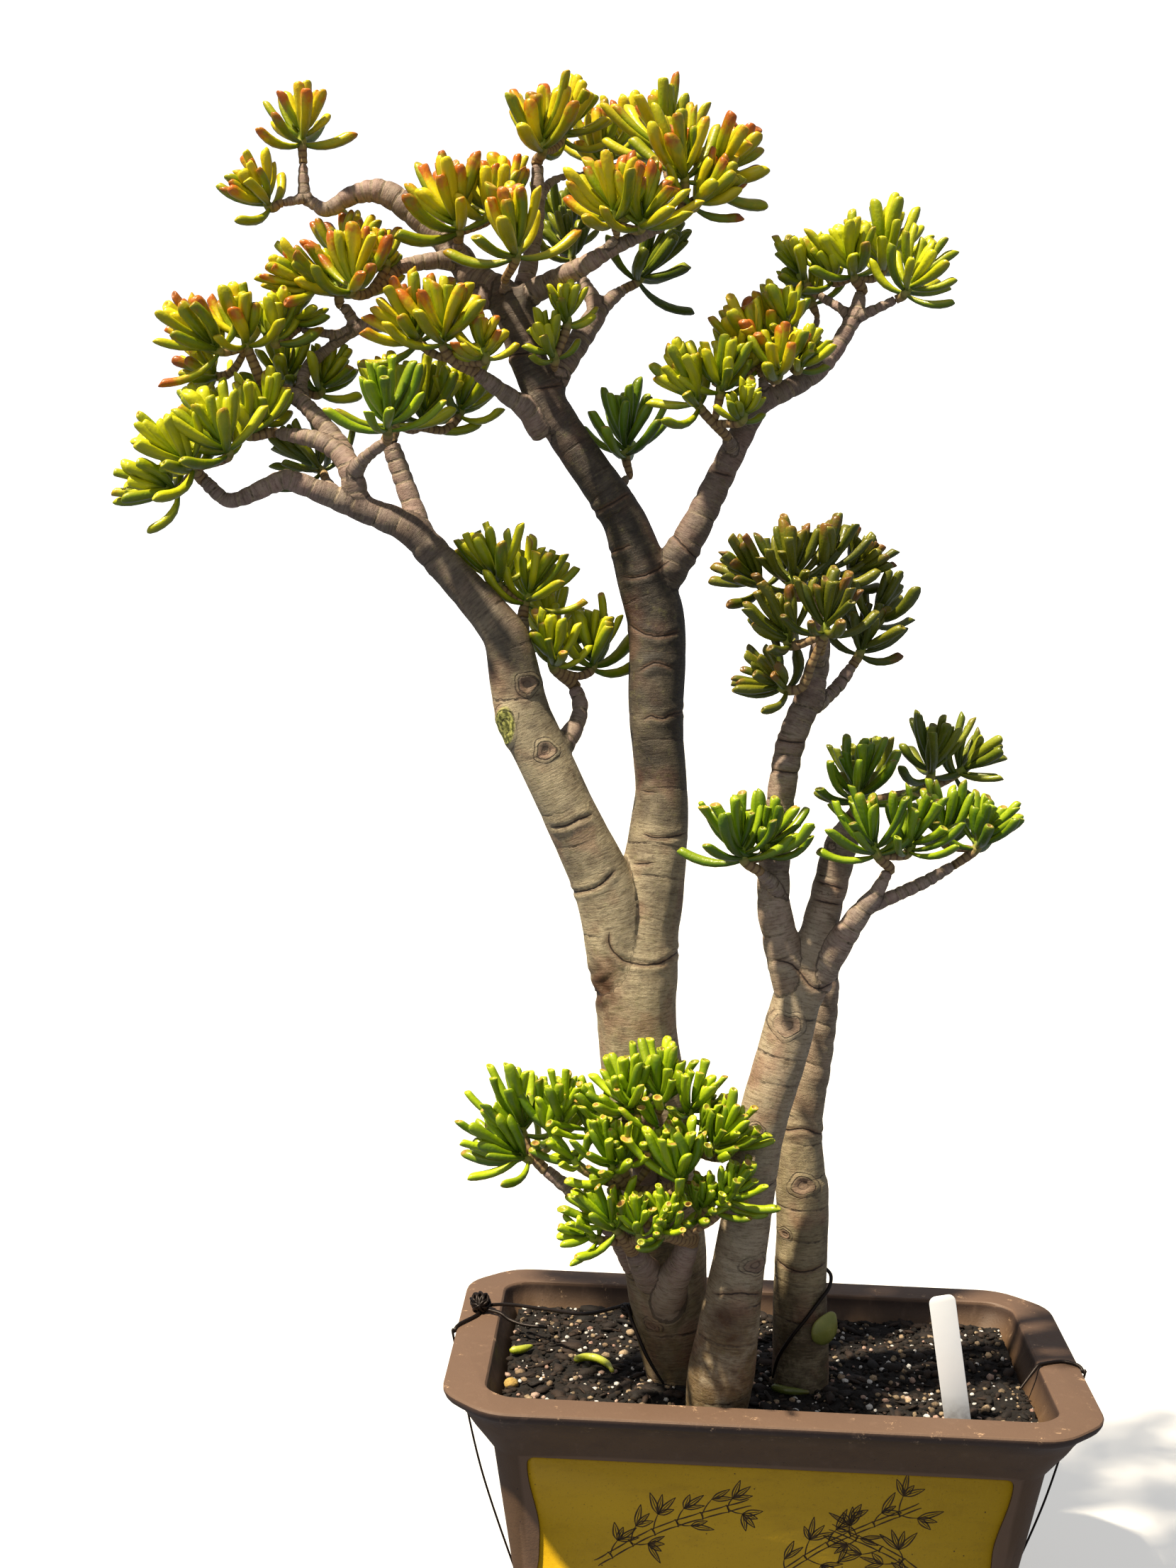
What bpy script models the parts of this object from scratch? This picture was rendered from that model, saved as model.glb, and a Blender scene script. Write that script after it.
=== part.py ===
"""Jade bonsai: three jade trees with tube-shaped, cup-ended leaves in a rectangular clay pot.

Lengths in the tables are millimetres. +Z is up, -Y is the pot's front, and the origin lies on the
ground under the middle of the pot.
"""
import math
import random

import bmesh
import bpy
import numpy as np
from mathutils import Matrix, Vector
from mathutils.bvhtree import BVHTree

MM = 0.001
GAP = 0.3                       # clear gap between pieces that rest on one another
SEED = 11

# Pot: a lofted body with clipped corners. Each ring is (height, half width, half depth, corner clip).
POT_OUTER = [(12, 159, 77, 9), (24, 166, 84, 9), (170, 190, 107, 12), (180, 197, 113, 14),
             (189, 204, 120, 18), (197, 211, 127, 25), (204, 218, 134, 30), (208, 224, 140, 33),
             (213, 226, 142, 34), (215, 224, 140, 33)]
POT_INNER = [(215, 196, 113, 24), (206, 194, 112, 23), (196, 190, 108, 20), (184, 185, 102, 15),
             (165, 180, 97, 11), (28, 157, 75, 9)]
FOOT = (44, 26, 15)             # corner foot: length, width, height into the body
FOOT_AT = (122, 50)
PAD_RADIUS = 17                 # middle support under the floor
DRAIN_AT, DRAIN_RADIUS = 92, 8
MESH_SIDE, MESH_THICK, MESH_SINK = 30, 0.9, 1.5
PANEL = dict(top=170, bottom=34, half_top=166, half_waist=156, ogee=50, depth=1.6)

# Soil: it fills the pot to 14 mm under the rim.
SOIL_TOP, SOIL_FLOOR = 201, 28
SOIL_CELL = 30

# Wood. Each route is a list of (x, y, z, radius), from where the branch leaves to where it ends.
TREES = {
    "main_tree": {
        "main_trunk": [(-51, -28, 126, 22), (-56, -31, 176, 23), (-74, -41, 272, 29.5),
            (-78, -43, 300, 30), (-87, -44, 352, 29.5), (-102, -42, 462, 29), (-104, -41, 492, 28.5),
            (-102, -40, 522, 25), (-96, -38, 552, 22), (-93, -34, 606, 19.5), (-93, -32, 631, 18.5),
            (-98, -28, 684, 19.5), (-100, -25, 733, 19), (-105, -24, 757, 19), (-121, -24, 798, 16),
            (-133, -25, 819, 15), (-183, -32, 890, 12.5), (-202, -32, 936, 12), (-205, -30, 950, 12.5),
            (-207, -28, 958, 11)],
        "limb_left": [(-110, -44, 490, 23.5), (-132, -50, 563, 20.5), (-181, -57, 659, 18.5),
            (-189, -58, 678, 18), (-199, -58, 719, 15.5), (-210, -57, 737, 14), (-256, -55, 785, 11.5),
            (-271, -56, 798, 10.5), (-307, -58, 811, 8), (-348, -64, 826, 6.5), (-359, -66, 824, 6),
            (-381, -69, 813, 5), (-392, -70, 812, 4.5), (-406, -70, 824, 4.5)],
        "limb_upright": [(-257, -50, 782, 7.5), (-270, -40, 814, 6.5), (-286, -34, 853, 6)],
        "limb_fork": [(-302, -58, 807, 6), (-309, -60, 833, 6.5), (-314, -58, 842, 6),
            (-325, -54, 850, 5), (-338, -50, 855, 5), (-363, -45, 858, 3.5)],
        "twig_front": [(-308, -62, 831, 5), (-299, -70, 842, 4), (-284, -82, 853, 3.5)],
        "limb_chain": [(-313, -52, 840, 5.5), (-322, -42, 854, 5.5), (-349, -31, 881, 4.5),
            (-374, -30, 893, 4)],
        "stub_l5": [(-351, -30, 880, 3.5), (-350, -12, 886, 2.5)],
        "stub_l6": [(-319, -58, 817, 4.5), (-328, -41, 827, 3)],
        "twig_rise": [(-347, -29, 878, 4), (-350, -22, 891, 3.5), (-348, -16, 903, 3.5),
            (-342, -12, 911, 3.5), (-333, -10, 919, 3), (-313, -12, 933, 4), (-293, -16, 934, 3.5)],
        "twig_r5": [(-316, -12, 932, 3), (-329, -14, 928, 3), (-351, -22, 929, 2.5)],
        "twig_r3": [(-315, -12, 934, 3.5), (-320, -14, 943, 3.5), (-324, -16, 947, 3.5)],
        "limb_top_left": [(-205, -28, 944, 10.5), (-213, -24, 956, 9), (-235, -17, 969, 8),
            (-249, -12, 987, 6.5), (-293, -5, 1023, 6.5), (-318, -3, 1024, 5), (-337, -2, 1013, 4),
            (-346, -1, 1016, 3.5), (-354, 0, 1023, 3.5), (-356, 2, 1044, 3)],
        "stub_pruned": [(-221, -22, 960, 6.5), (-232, -31, 949, 5.5)],
        "twig_t11": [(-241, -18, 977, 4.5), (-244, -28, 986, 4), (-244, -31, 990, 3.5)],
        "arm_left": [(-244, -16, 979, 5.5), (-257, -22, 979, 4.5), (-278, -31, 974, 4),
            (-284, -33, 970, 4)],
        "twig_r2": [(-351, -1, 1021, 3), (-368, -6, 1016, 3)],
        "stub_t10": [(-212, -32, 955, 3.5), (-210, -49, 964, 3)],
        "limb_top_right": [(-203, -30, 945, 8), (-194, -34, 957, 6.5), (-158, -44, 976, 5),
            (-138, -47, 988, 4), (-103, -40, 1006, 3.5)],
        "twig_t2": [(-145, -46, 983, 3), (-138, -54, 994, 2.5)],
        "twig_t1": [(-203, -22, 945, 7.5), (-199, -12, 969, 6), (-195, -7, 993, 5), (-193, -6, 1015, 5),
            (-194, -6, 1047, 4)],
        "twig_t8": [(-193, -4, 1019, 3), (-187, 8, 1036, 3), (-176, 20, 1044, 2.5),
            (-165, 30, 1047, 2.5)],
        "limb_right_up": [(-181, -30, 886, 8.5), (-175, -26, 904, 7.5), (-154, -10, 941, 6.5),
            (-150, -4, 952, 5.5), (-164, 18, 978, 3.5)],
        "twig_t20": [(-152, -8, 944, 4.5), (-141, 2, 959, 4.5), (-132, 10, 967, 3.5)],
        "stub_t18": [(-170, -28, 904, 3), (-175, -46, 907, 2)],
        "stub_t15": [(-181, -34, 865, 8), (-193, -42, 880, 7), (-206, -48, 888, 5.5),
            (-227, -56, 902, 4.5)],
        "limb_right": [(-105, -26, 753, 13.5), (-78, -26, 802, 10), (-40, -26, 885, 8),
            (-32, -26, 893, 7.5), (3, -22, 914, 6), (25, -16, 949, 5), (30, -12, 968, 4)],
        "twig_f9": [(25, -16, 948, 3.5), (18, -12, 956, 3), (2, -5, 966, 3)],
        "twig_f14": [(25, -16, 949, 3.5), (52, -28, 962, 3)],
        "twig_f8": [(5, -20, 918, 3.5), (0, -14, 927, 3), (2, 2, 951, 2)],
        "twig_f5b": [(4, -20, 917, 3), (0, -28, 923, 3), (-4, -32, 927, 2.5)],
        "twig_f5": [(-31, -26, 892, 4), (-36, -33, 908, 2.5)],
        "twig_f1": [(-51, -28, 855, 4.5), (-58, -43, 866, 3.5)],
        "stub_t23": [(-135, -20, 824, 5), (-124, -8, 838, 2.5)],
        "stub_l8": [(-196, -52, 714, 6), (-192, -40, 730, 4.5), (-192, -36, 739, 4)],
        "twig_l9": [(-165, -50, 648, 7), (-156, -42, 661, 6), (-151, -36, 672, 5), (-151, -32, 683, 5),
            (-155, -30, 692, 4.5)],
        "shoot_front": [(-75, -58, 258, 11), (-71, -80, 289, 10), (-61, -98, 324, 6.5)],
        "shoot_front_left": [(-82, -60, 281, 10), (-92, -86, 301, 8), (-99, -99, 316, 5.5)],
        "shoot_left": [(-90, -50, 278, 9), (-107, -72, 312, 6.5), (-117, -80, 326, 5.5),
            (-139, -86, 349, 5), (-161, -86, 366, 4)],
        "shoot_mid": [(-84, -60, 311, 9), (-87, -88, 334, 7), (-91, -100, 351, 5)],
        "shoot_top": [(-89, -62, 352, 9), (-95, -84, 371, 6.5), (-99, -90, 380, 5.5)],
        "shoot_top_right": [(-83, -60, 347, 8.5), (-69, -92, 379, 5)],
    },
    "front_tree": {
        "front_trunk": [(-37, -79, 183, 19.5), (-36, -88, 224, 22), (-34, -91, 248, 21),
            (-28, -94, 295, 19), (-21, -94, 370, 17), (-13, -93, 419, 16), (3, -91, 488, 16.5),
            (16, -89, 541, 12), (28, -86, 594, 10.5), (35, -86, 612, 7.5)],
        "stem_left": [(3, -92, 495, 13), (-10, -97, 537, 11), (-16, -100, 570, 10), (-11, -97, 655, 9),
            (3, -94, 700, 8.5), (8, -92, 728, 6), (6, -90, 748, 4.5)],
        "twig_b6": [(6, -92, 691, 5), (15, -86, 697, 4), (23, -80, 705, 4), (31, -76, 717, 3.5)],
        "stub_b2": [(7, -98, 719, 3.5), (7, -114, 727, 2.5)],
        "twig_b8": [(-11, -104, 564, 4.5), (-18, -112, 574, 4), (-26, -118, 582, 3.5)],
        "stem_right": [(10, -92, 497, 10), (38, -105, 550, 7), (51, -109, 570, 4.5),
            (58, -110, 585, 3.5)],
        "twig_b9e": [(45, -106, 559, 4), (82, -98, 576, 4), (103, -92, 588, 3)],
        "stub_cut": [(28, -88, 595, 3.5), (23, -92, 597, 3.5)],
    },
    "rear_tree": {
        "rear_trunk": [(25, -34, 155, 19.5), (19, -34, 328, 19), (17, -34, 353, 17.5),
            (17, -36, 400, 13), (27, -44, 481, 9.5), (23, -43, 535, 7.5), (25, -41, 560, 7),
            (30, -38, 582, 6.5), (42, -32, 601, 6)],
    },
}

# Leafy sprays: (branch it grows from, tone, heads). A head is (x, y, z, fan, lean, leaf length).
SPRAYS = {
    "crown_tip": ("limb_top_left", "gold", [(-357, 2, 1056, 92, 0, 38)]),
    "crown_tip_left": ("twig_r2", "gold", [(-376, -8, 1012, 128, 12, 37)]),
    "crown_arm": ("arm_left", "gold", [(-312, -52, 952, 86, 12, 42), (-292, -38, 970, 98, 0, 21)]),
    "crown_arm_back": ("twig_r3", "gold", [(-326, -20, 954, 105, 0, 38), (-339, -30, 956, 148, 10, 36),
        (-323, 4, 973, 88, -5, 42)]),
    "left_top": ("limb_chain", "gold", [(-385, -36, 915, 102, 10, 40), (-401, -44, 911, 142, 10, 46),
        (-408, -18, 896, 150, -20, 26)]),
    "left_top_right": ("twig_r5", "gold", [(-366, -34, 918, 88, 12, 34), (-357, -22, 933, 78, -8, 30)]),
    "left_low": ("limb_left", "gold", [(-411, -78, 831, 138, 15, 44), (-388, -80, 840, 112, 10, 44),
        (-424, -66, 817, 168, 0, 40)]),
    "left_mid": ("limb_fork", "mid", [(-380, -52, 855, 115, 10, 42), (-372, -40, 863, 88, -5, 34),
        (-401, -40, 854, 128, -10, 40)]),
    "left_inner": ("stub_l5", "gold", [(-362, -4, 892, 100, -5, 36), (-342, 0, 887, 72, -5, 34)]),
    "left_under": ("stub_l6", "dark", [(-333, -30, 833, 135, -5, 40)]),
    "left_head_front": ("twig_front", "bright", [(-281, -92, 859, 92, 15, 46)]),
    "left_head_back": ("limb_upright", "mid", [(-283, -30, 866, 95, -10, 46),
        (-268, -2, 870, 80, -15, 46), (-244, 6, 876, 75, -5, 40)]),
    "crown_mid_left": ("twig_t11", "gold", [(-243, -38, 995, 108, 10, 50),
        (-224, -30, 1006, 92, 0, 38)]),
    "crown_front": ("stub_t10", "gold", [(-202, -68, 976, 98, 18, 48), (-214, -22, 1012, 98, 0, 36)]),
    "crown_right": ("twig_t2", "gold", [(-138, -62, 1001, 100, 12, 46), (-122, -66, 997, 70, 15, 42)]),
    "crown_far_right": ("limb_top_right", "gold", [(-93, -48, 1031, 100, 12, 46),
        (-87, -48, 1015, 50, 10, 38), (-75, -28, 1034, 58, 0, 46), (-107, -10, 1054, 95, -5, 48)]),
    "crown_high": ("twig_t1", "gold", [(-190, -14, 1054, 95, 5, 46), (-179, 10, 1067, 72, -5, 38)]),
    "crown_high_right": ("twig_t8", "gold", [(-151, 42, 1055, 96, 0, 42),
        (-133, 62, 1065, 88, -5, 44)]),
    "crown_under": ("limb_right_up", "dark", [(-169, 24, 987, 100, -5, 34),
        (-180, 60, 1005, 95, -10, 38)]),
    "crown_under_right": ("twig_t20", "dark", [(-123, 14, 973, 55, 5, 46)]),
    "leader_buds": ("stub_t18", "mid", [(-175, -56, 912, 112, 5, 28), (-168, -52, 934, 92, 0, 24)]),
    "mid_yellow": ("stub_t15", "gold", [(-249, -66, 918, 86, 12, 46), (-265, -58, 920, 118, 5, 44),
        (-221, -70, 909, 95, 5, 28)]),
    "right_first": ("twig_f1", "gold", [(-77, -58, 884, 122, 8, 40), (-64, -60, 893, 92, 8, 34),
        (-50, -66, 875, 80, 10, 22)]),
    "right_mid": ("twig_f5", "gold", [(-39, -34, 917, 115, 5, 42), (-28, -28, 926, 92, 0, 40),
        (-26, -56, 905, 84, 8, 34), (-53, -40, 903, 100, 0, 36)]),
    "right_inner": ("twig_f8", "mid", [(-1, 6, 960, 112, -5, 32)]),
    "right_inner_low": ("twig_f5b", "mid", [(-20, -36, 938, 104, 0, 30), (-13, -50, 911, 72, 5, 26)]),
    "right_upper_left": ("twig_f9", "mid", [(-7, -2, 973, 122, 5, 32)]),
    "right_top": ("limb_right", "mid", [(24, -18, 977, 106, 8, 38), (46, 2, 985, 88, -5, 44),
        (12, -4, 975, 130, 0, 30)]),
    "right_end": ("twig_f14", "mid", [(57, -34, 965, 60, 5, 38)]),
    "leader_head": ("stub_t23", "dark", [(-126, -4, 851, 90, 0, 48)]),
    "limb_head": ("stub_l8", "bright", [(-191, -32, 748, 72, 0, 44), (-208, -40, 760, 118, 5, 44)]),
    "branchlet_head": ("twig_l9", "mid", [(-169, -42, 705, 102, 10, 38), (-144, -20, 704, 82, -5, 46),
        (-174, -6, 718, 96, -10, 40)]),
    "front_crown": ("stem_left", "shade", [(9, -88, 774, 84, 5, 40), (-13, -98, 766, 92, 5, 42),
        (-31, -96, 767, 136, 0, 36), (25, -72, 774, 52, 0, 32)]),
    "front_middle": ("stub_b2", "shade", [(7, -130, 739, 84, 20, 40), (-13, -122, 731, 116, 10, 40),
        (-14, -118, 702, 150, 5, 34)]),
    "front_side": ("twig_b6", "shade", [(35, -76, 724, 70, 0, 34), (43, -66, 744, 78, 0, 40)]),
    "front_fork_head": ("twig_b8", "bright", [(-37, -124, 590, 104, 8, 44),
        (-25, -116, 593, 76, 5, 40)]),
    "front_stem_top": ("front_trunk", "bright", [(38, -92, 627, 92, 8, 44)]),
    "front_right": ("stem_right", "bright", [(50, -118, 596, 112, 10, 42),
        (69, -112, 597, 66, 10, 42)]),
    "front_right_end": ("twig_b9e", "mid", [(117, -92, 599, 72, 5, 38), (98, -86, 601, 100, -5, 38)]),
    "rear_crown": ("rear_trunk", "dark", [(50, -22, 620, 100, 0, 40), (94, -22, 638, 88, 0, 42),
        (112, -8, 639, 38, 0, 36)]),
    "low_left": ("shoot_left", "bright", [(-177, -82, 388, 104, 0, 50), (-172, -88, 373, 152, 0, 44),
        (-158, -92, 389, 84, 5, 40)]),
    "low_front": ("shoot_front", "bright", [(-78, -130, 339, 95, 15, 30), (-56, -124, 349, 84, 15, 28),
        (-40, -134, 362, 66, 15, 32)]),
    "low_front_left": ("shoot_front_left", "bright", [(-110, -120, 336, 124, 10, 38),
        (-95, -128, 335, 98, 15, 28)]),
    "low_mid": ("shoot_mid", "bright", [(-113, -116, 374, 108, 10, 38), (-70, -130, 372, 96, 15, 44)]),
    "low_top": ("shoot_top", "bright", [(-128, -100, 393, 128, 5, 38), (-107, -102, 413, 98, 5, 40),
        (-85, -106, 419, 86, 5, 42)]),
    "low_top_right": ("shoot_top_right", "bright", [(-66, -110, 412, 78, 5, 40),
        (-50, -126, 395, 68, 10, 38)]),
}
ROUNDING = ((14, 3), (6, 1), (0, 0))     # a branch at least this thick (radius) has 4 + 2 x this many sides
RING_STEP = 60                          # spacing of a branch's rings, shorter where it is thin
SHARP = 50                              # degrees: edges sharper than this stay sharp in shading
FLAT_WOOD, FLAT_LEAF = 1.5, 7.0         # degrees: faces this near to flat are one

# Leaves: opposite pairs, each pair turned a quarter round the shoot from the last.
PAIRS = 6
SOLID_PAIRS = (0, 3)            # the pairs that are modelled here, the lowest and a middle one
LEAF_RADIUS = 3.9               # at the reference length
LEAF_LENGTH = 44
LEAF_SHAPE = ((0.0, 0.4), (1.0, 1.0))       # (along, radius): narrow root, flared cup
STEM_RADIUS, STEM_TIP = 3.3, 10     # a shoot at its head, and how far its green tip runs past it
HEAD_RISE = 12                  # from the lowest pair of leaves to the highest

# Tie wire: its route over both rims, under the pot and up to the largest trunk.
WIRE_RADIUS, WIRE_STEP = 0.75, 130
TIE_WIRE = [(181, -27, 202), (193, -18, 214.4), (196.3, -15.5, 216.8), (200, -12, 216.3), (214, -6, 216.2),
            (224.3, -12, 216.3), (227.3, -17, 213.2), (226.9, -19, 206), (198, -23, 110), (168.4, -27, 24),
            (162.5, -28.5, 12.5), (159, -29, 10.3), (153, -29, 10.8), (60, -32, 10.8), (-60, -31, 10.8),
            (-153, -22, 10.8), (-159, -20, 10.3), (-162.5, -19.5, 12.5), (-168.4, -18, 24), (-198, -8, 110),
            (-226.9, 2, 206), (-227.3, 5, 213.2), (-224.3, 12, 216.3), (-214, 30, 216.3), (-210, 43, 216.8),
            (-204, 46, 219), (-187, 30, 226), (-159, 2, 234), (-132, -24, 242), (-110, -36, 252),
            (-101.5, -42, 257), (-99, -51, 252), (-93, -57.5, 240), (-85, -61.5, 225), (-74, -64, 209)]
LOOP_WIRE = [(38.1, -21.8, 284), (41.9, -32.1, 282), (40.2, -43, 277), (33.3, -51.4, 270),
             (23.5, -55.2, 257), (13.1, -53.3, 241), (6.3, -47.7, 225), (3.5, -43, 209)]

# Label: a thin plastic stake, leaning. (foot, top) of its middle line, width, thickness.
LABEL = ((133, -86, 178), (111, -97, 294), 18, 1.0)

# Loose leaves: the route of each fallen one over the soil, and the broad one behind the rear trunk.
FALLEN = [[(-186, -2), (-178, 1), (-170, 9)], [(-138, -17), (-131, -11), (-122, -12), (-114, -22), (-110, -35)],
          [(2, -56), (13, -62), (28, -63)]]
FALLEN_RADIUS = 3.2
TUCKED = ((40.5, -53.5, 250), (10, 3.6, 12.5))     # middle and half sizes

COLOURS = {
    "pot": (0.19, 0.11, 0.075), "soil": (0.03, 0.026, 0.023), "drain": (0.02, 0.02, 0.02),
    "main_tree": (0.26, 0.22, 0.17), "front_tree": (0.28, 0.24, 0.17), "rear_tree": (0.25, 0.21, 0.15),
    "gold": (0.42, 0.36, 0.04), "mid": (0.22, 0.30, 0.03), "bright": (0.18, 0.33, 0.03),
    "dark": (0.07, 0.13, 0.02), "shade": (0.12, 0.15, 0.02), "wire": (0.03, 0.022, 0.018),
    "label": (0.85, 0.86, 0.84), "fallen": (0.30, 0.34, 0.06),
}


# ---------------------------------------------------------------- scene, materials and objects

def clear_scene():
    for obj in list(bpy.data.objects):
        bpy.data.objects.remove(obj, do_unlink=True)


def material(name, colour, roughness):
    made = bpy.data.materials.new(name)
    made.use_nodes = True
    shader = made.node_tree.nodes["Principled BSDF"]
    shader.inputs["Base Color"].default_value = (*colour, 1)
    shader.inputs["Roughness"].default_value = roughness
    made.diffuse_color = (*colour, 1)
    return made


def collection(name):
    made = bpy.data.collections.new(name)
    bpy.context.scene.collection.children.link(made)
    return made


def placed(name, mesh, where, at=None):
    obj = bpy.data.objects.new(name, mesh)
    if at is not None:
        obj.matrix_world = at
    where.objects.link(obj)
    return obj


def mesh_object(name, points, faces, where):
    """An object from points in millimetres, its faces turned outwards."""
    mesh = bpy.data.meshes.new(name)
    mesh.from_pydata([tuple(c * MM for c in p) for p in points], [], faces)
    work = bmesh.new()
    work.from_mesh(mesh)
    bmesh.ops.recalc_face_normals(work, faces=work.faces)
    work.to_mesh(mesh)
    work.free()
    return placed(name, mesh, where)


def primitive(name, where, matrix, make, **shape):
    """An object from one bmesh primitive, placed by a matrix in millimetres."""
    work = bmesh.new()
    make(work, matrix=Matrix.Scale(MM, 4) @ matrix, **shape)
    mesh = bpy.data.meshes.new(name)
    work.to_mesh(mesh)
    work.free()
    return placed(name, mesh, where)


def curve_mesh(name, curve, where, at=None):
    """A curve turned into a mesh object, its caps welded on."""
    line = placed(name, curve, where, at)
    bpy.context.view_layer.update()
    mesh = bpy.data.meshes.new_from_object(line.evaluated_get(bpy.context.evaluated_depsgraph_get()))
    mesh.transform(line.matrix_world)
    bpy.data.objects.remove(line, do_unlink=True)
    work = bmesh.new()
    work.from_mesh(mesh)
    bmesh.ops.remove_doubles(work, verts=work.verts, dist=0.01 * MM)
    bmesh.ops.recalc_face_normals(work, faces=work.faces)
    work.to_mesh(mesh)
    work.free()
    return placed(name, mesh, where)


def plate(name, outline, low, high, where, at):
    """A flat outline in millimetres, filled between two heights of its own frame."""
    curve = bpy.data.curves.new(name, "CURVE")
    curve.dimensions, curve.fill_mode = "2D", "BOTH"
    curve.extrude = (high - low) / 2 * MM
    line = curve.splines.new("POLY")
    line.points.add(len(outline) - 1)
    line.use_cyclic_u = True
    for spot, (x, y) in zip(line.points, outline):
        spot.co = (x * MM, y * MM, 0, 1)
    middle = Matrix.Translation((0, 0, (low + high) / 2 * MM))
    return curve_mesh(name, curve, where, at @ middle)


def applied(obj):
    """The object's mesh with its modifiers applied."""
    graph = bpy.context.evaluated_depsgraph_get()
    mesh = bpy.data.meshes.new_from_object(obj.evaluated_get(graph))
    obj.modifiers.clear()
    obj.data = mesh
    return obj


def skins(work):
    """The separate skins of a bmesh, each a list of its vertices, largest last."""
    seen, found = set(), []
    for start in work.verts:
        if start in seen:
            continue
        skin, queue = [], [start]
        seen.add(start)
        while queue:
            vert = queue.pop()
            skin.append(vert)
            for edge in vert.link_edges:
                other = edge.other_vert(vert)
                if other not in seen:
                    seen.add(other)
                    queue.append(other)
        found.append(skin)
    return sorted(found, key=len)


def tidy(obj, flat):
    """Joins neighbours flat to so many degrees, as far as that leaves the skin closed, and splits to triangles."""
    for angle, split in ((flat, "BEAUTY"), (flat, "EAR_CLIP"), (flat / 4, "BEAUTY"), (flat / 20, "EAR_CLIP")):
        work = bmesh.new()
        work.from_mesh(obj.data)
        bmesh.ops.dissolve_limit(work, angle_limit=math.radians(angle), verts=work.verts, edges=work.edges)
        bmesh.ops.triangulate(work, faces=work.faces, ngon_method=split)
        closed = all(len(edge.link_faces) == 2 for edge in work.edges)
        if closed:
            work.to_mesh(obj.data)
        work.free()
        if closed:
            return True
    return False


def outer_skin(obj):
    """Keeps the largest skin, since what a union seals inside it is solid. False if a skin is open or loose."""
    work = bmesh.new()
    work.from_mesh(obj.data)
    closed = all(len(edge.link_faces) == 2 for edge in work.edges)
    found = skins(work)
    for skin in found[:-1]:
        faces = {face for vert in skin for face in vert.link_faces}
        size = sum(face.calc_center_median().dot(face.normal) * face.calc_area() for face in faces)
        closed = closed and size < 0
        bmesh.ops.delete(work, geom=skin, context="VERTS")
    work.to_mesh(obj.data)
    work.free()
    return closed


def union(obj, others, flat):
    """Fuses a list of objects into obj with one Boolean, then removes them."""
    group = collection(obj.name + "_parts")
    for other in others:
        for home in list(other.users_collection):
            home.objects.unlink(other)
        group.objects.link(other)
    start = obj.data
    for solver in ("EXACT", "MANIFOLD"):
        obj.data = start.copy()
        fuse = obj.modifiers.new("union", "BOOLEAN")
        fuse.operation, fuse.solver = "UNION", solver
        fuse.operand_type, fuse.collection = "COLLECTION", group
        applied(obj)
        whole = outer_skin(obj) and tidy(obj, flat)
        if whole:
            break
    for other in others:
        bpy.data.objects.remove(other, do_unlink=True)
    bpy.data.collections.remove(group)
    return whole


def cut(obj, cutters, operation="DIFFERENCE", solver="EXACT"):
    """Takes the cutters away from obj, or keeps only what is common, then removes the cutters."""
    for cutter in cutters:
        less = obj.modifiers.new("cut", "BOOLEAN")
        less.operation, less.solver, less.object = operation, solver, cutter
    applied(obj)
    for cutter in cutters:
        bpy.data.objects.remove(cutter, do_unlink=True)


def finish(obj, colour, roughness, smooth=True):
    obj.data.materials.clear()
    obj.data.materials.append(material(obj.name, COLOURS[colour], roughness))
    if smooth:
        obj.data.shade_smooth()
        obj.data.set_sharp_from_angle(angle=math.radians(SHARP))


# ---------------------------------------------------------------- routes and tubes

def unit(v):
    return v / max(np.linalg.norm(v), 1e-9)


def smooth_route(points, step):
    """A Catmull-Rom curve through the points, with rings about step apart, closer on thin parts."""
    p = np.array(points, float)
    ends = np.vstack([2 * p[0] - p[1], p, 2 * p[-1] - p[-2]])
    out = []
    for i in range(len(p) - 1):
        a, b, c, d = ends[i:i + 4]
        length = np.linalg.norm((c - b)[:3])
        reach = step * min(1.3, max(0.45, b[3] / 9)) if p.shape[1] > 3 else step
        count = max(1, round(length / reach))
        for k in range(count):
            t = k / count
            out.append(0.5 * (2 * b + (c - a) * t + (2 * a - 5 * b + 4 * c - d) * t * t
                              + (3 * b - a - 3 * c + d) * t ** 3))
    out.append(p[-1])
    return np.array(out)


def tube(name, route, rounding, where, tilt=0.0):
    """A capped tube along a route of (x, y, z, radius), with 4 + 2 x rounding sides."""
    curve = bpy.data.curves.new(name, "CURVE")
    curve.dimensions, curve.bevel_depth, curve.bevel_resolution = "3D", MM, rounding
    curve.use_fill_caps = True
    line = curve.splines.new("POLY")
    line.points.add(len(route) - 1)
    for spot, (x, y, z, radius) in zip(line.points, route):
        spot.co, spot.radius, spot.tilt = (x * MM, y * MM, z * MM, 1), radius, tilt
    return curve_mesh(name, curve, where)


def branch_rounding(route):
    thick = max(p[3] for p in route)
    return next(rounding for least, rounding in ROUNDING if thick >= least)


# ---------------------------------------------------------------- clearances between plant pieces

def segment_distance(p, q, a, b):
    """Least distance of the segment p-q from each segment a-b (arrays)."""
    u, v, w = q - p, b - a, p - a
    uu, uv, vv = np.dot(u, u), v @ u, np.einsum("ij,ij->i", v, v)
    wu, wv = w @ u, np.einsum("ij,ij->i", w, v)
    det = uu * vv - uv * uv
    s = np.clip(np.where(det > 1e-9, (uv * wv - vv * wu) / np.maximum(det, 1e-9), 0), 0, 1)
    t = np.clip((uv * s + wv) / np.maximum(vv, 1e-9), 0, 1)
    s = np.clip((uv * t - wu) / max(uu, 1e-9), 0, 1)
    return np.linalg.norm(w + s[:, None] * u - t[:, None] * v, axis=1)


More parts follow.
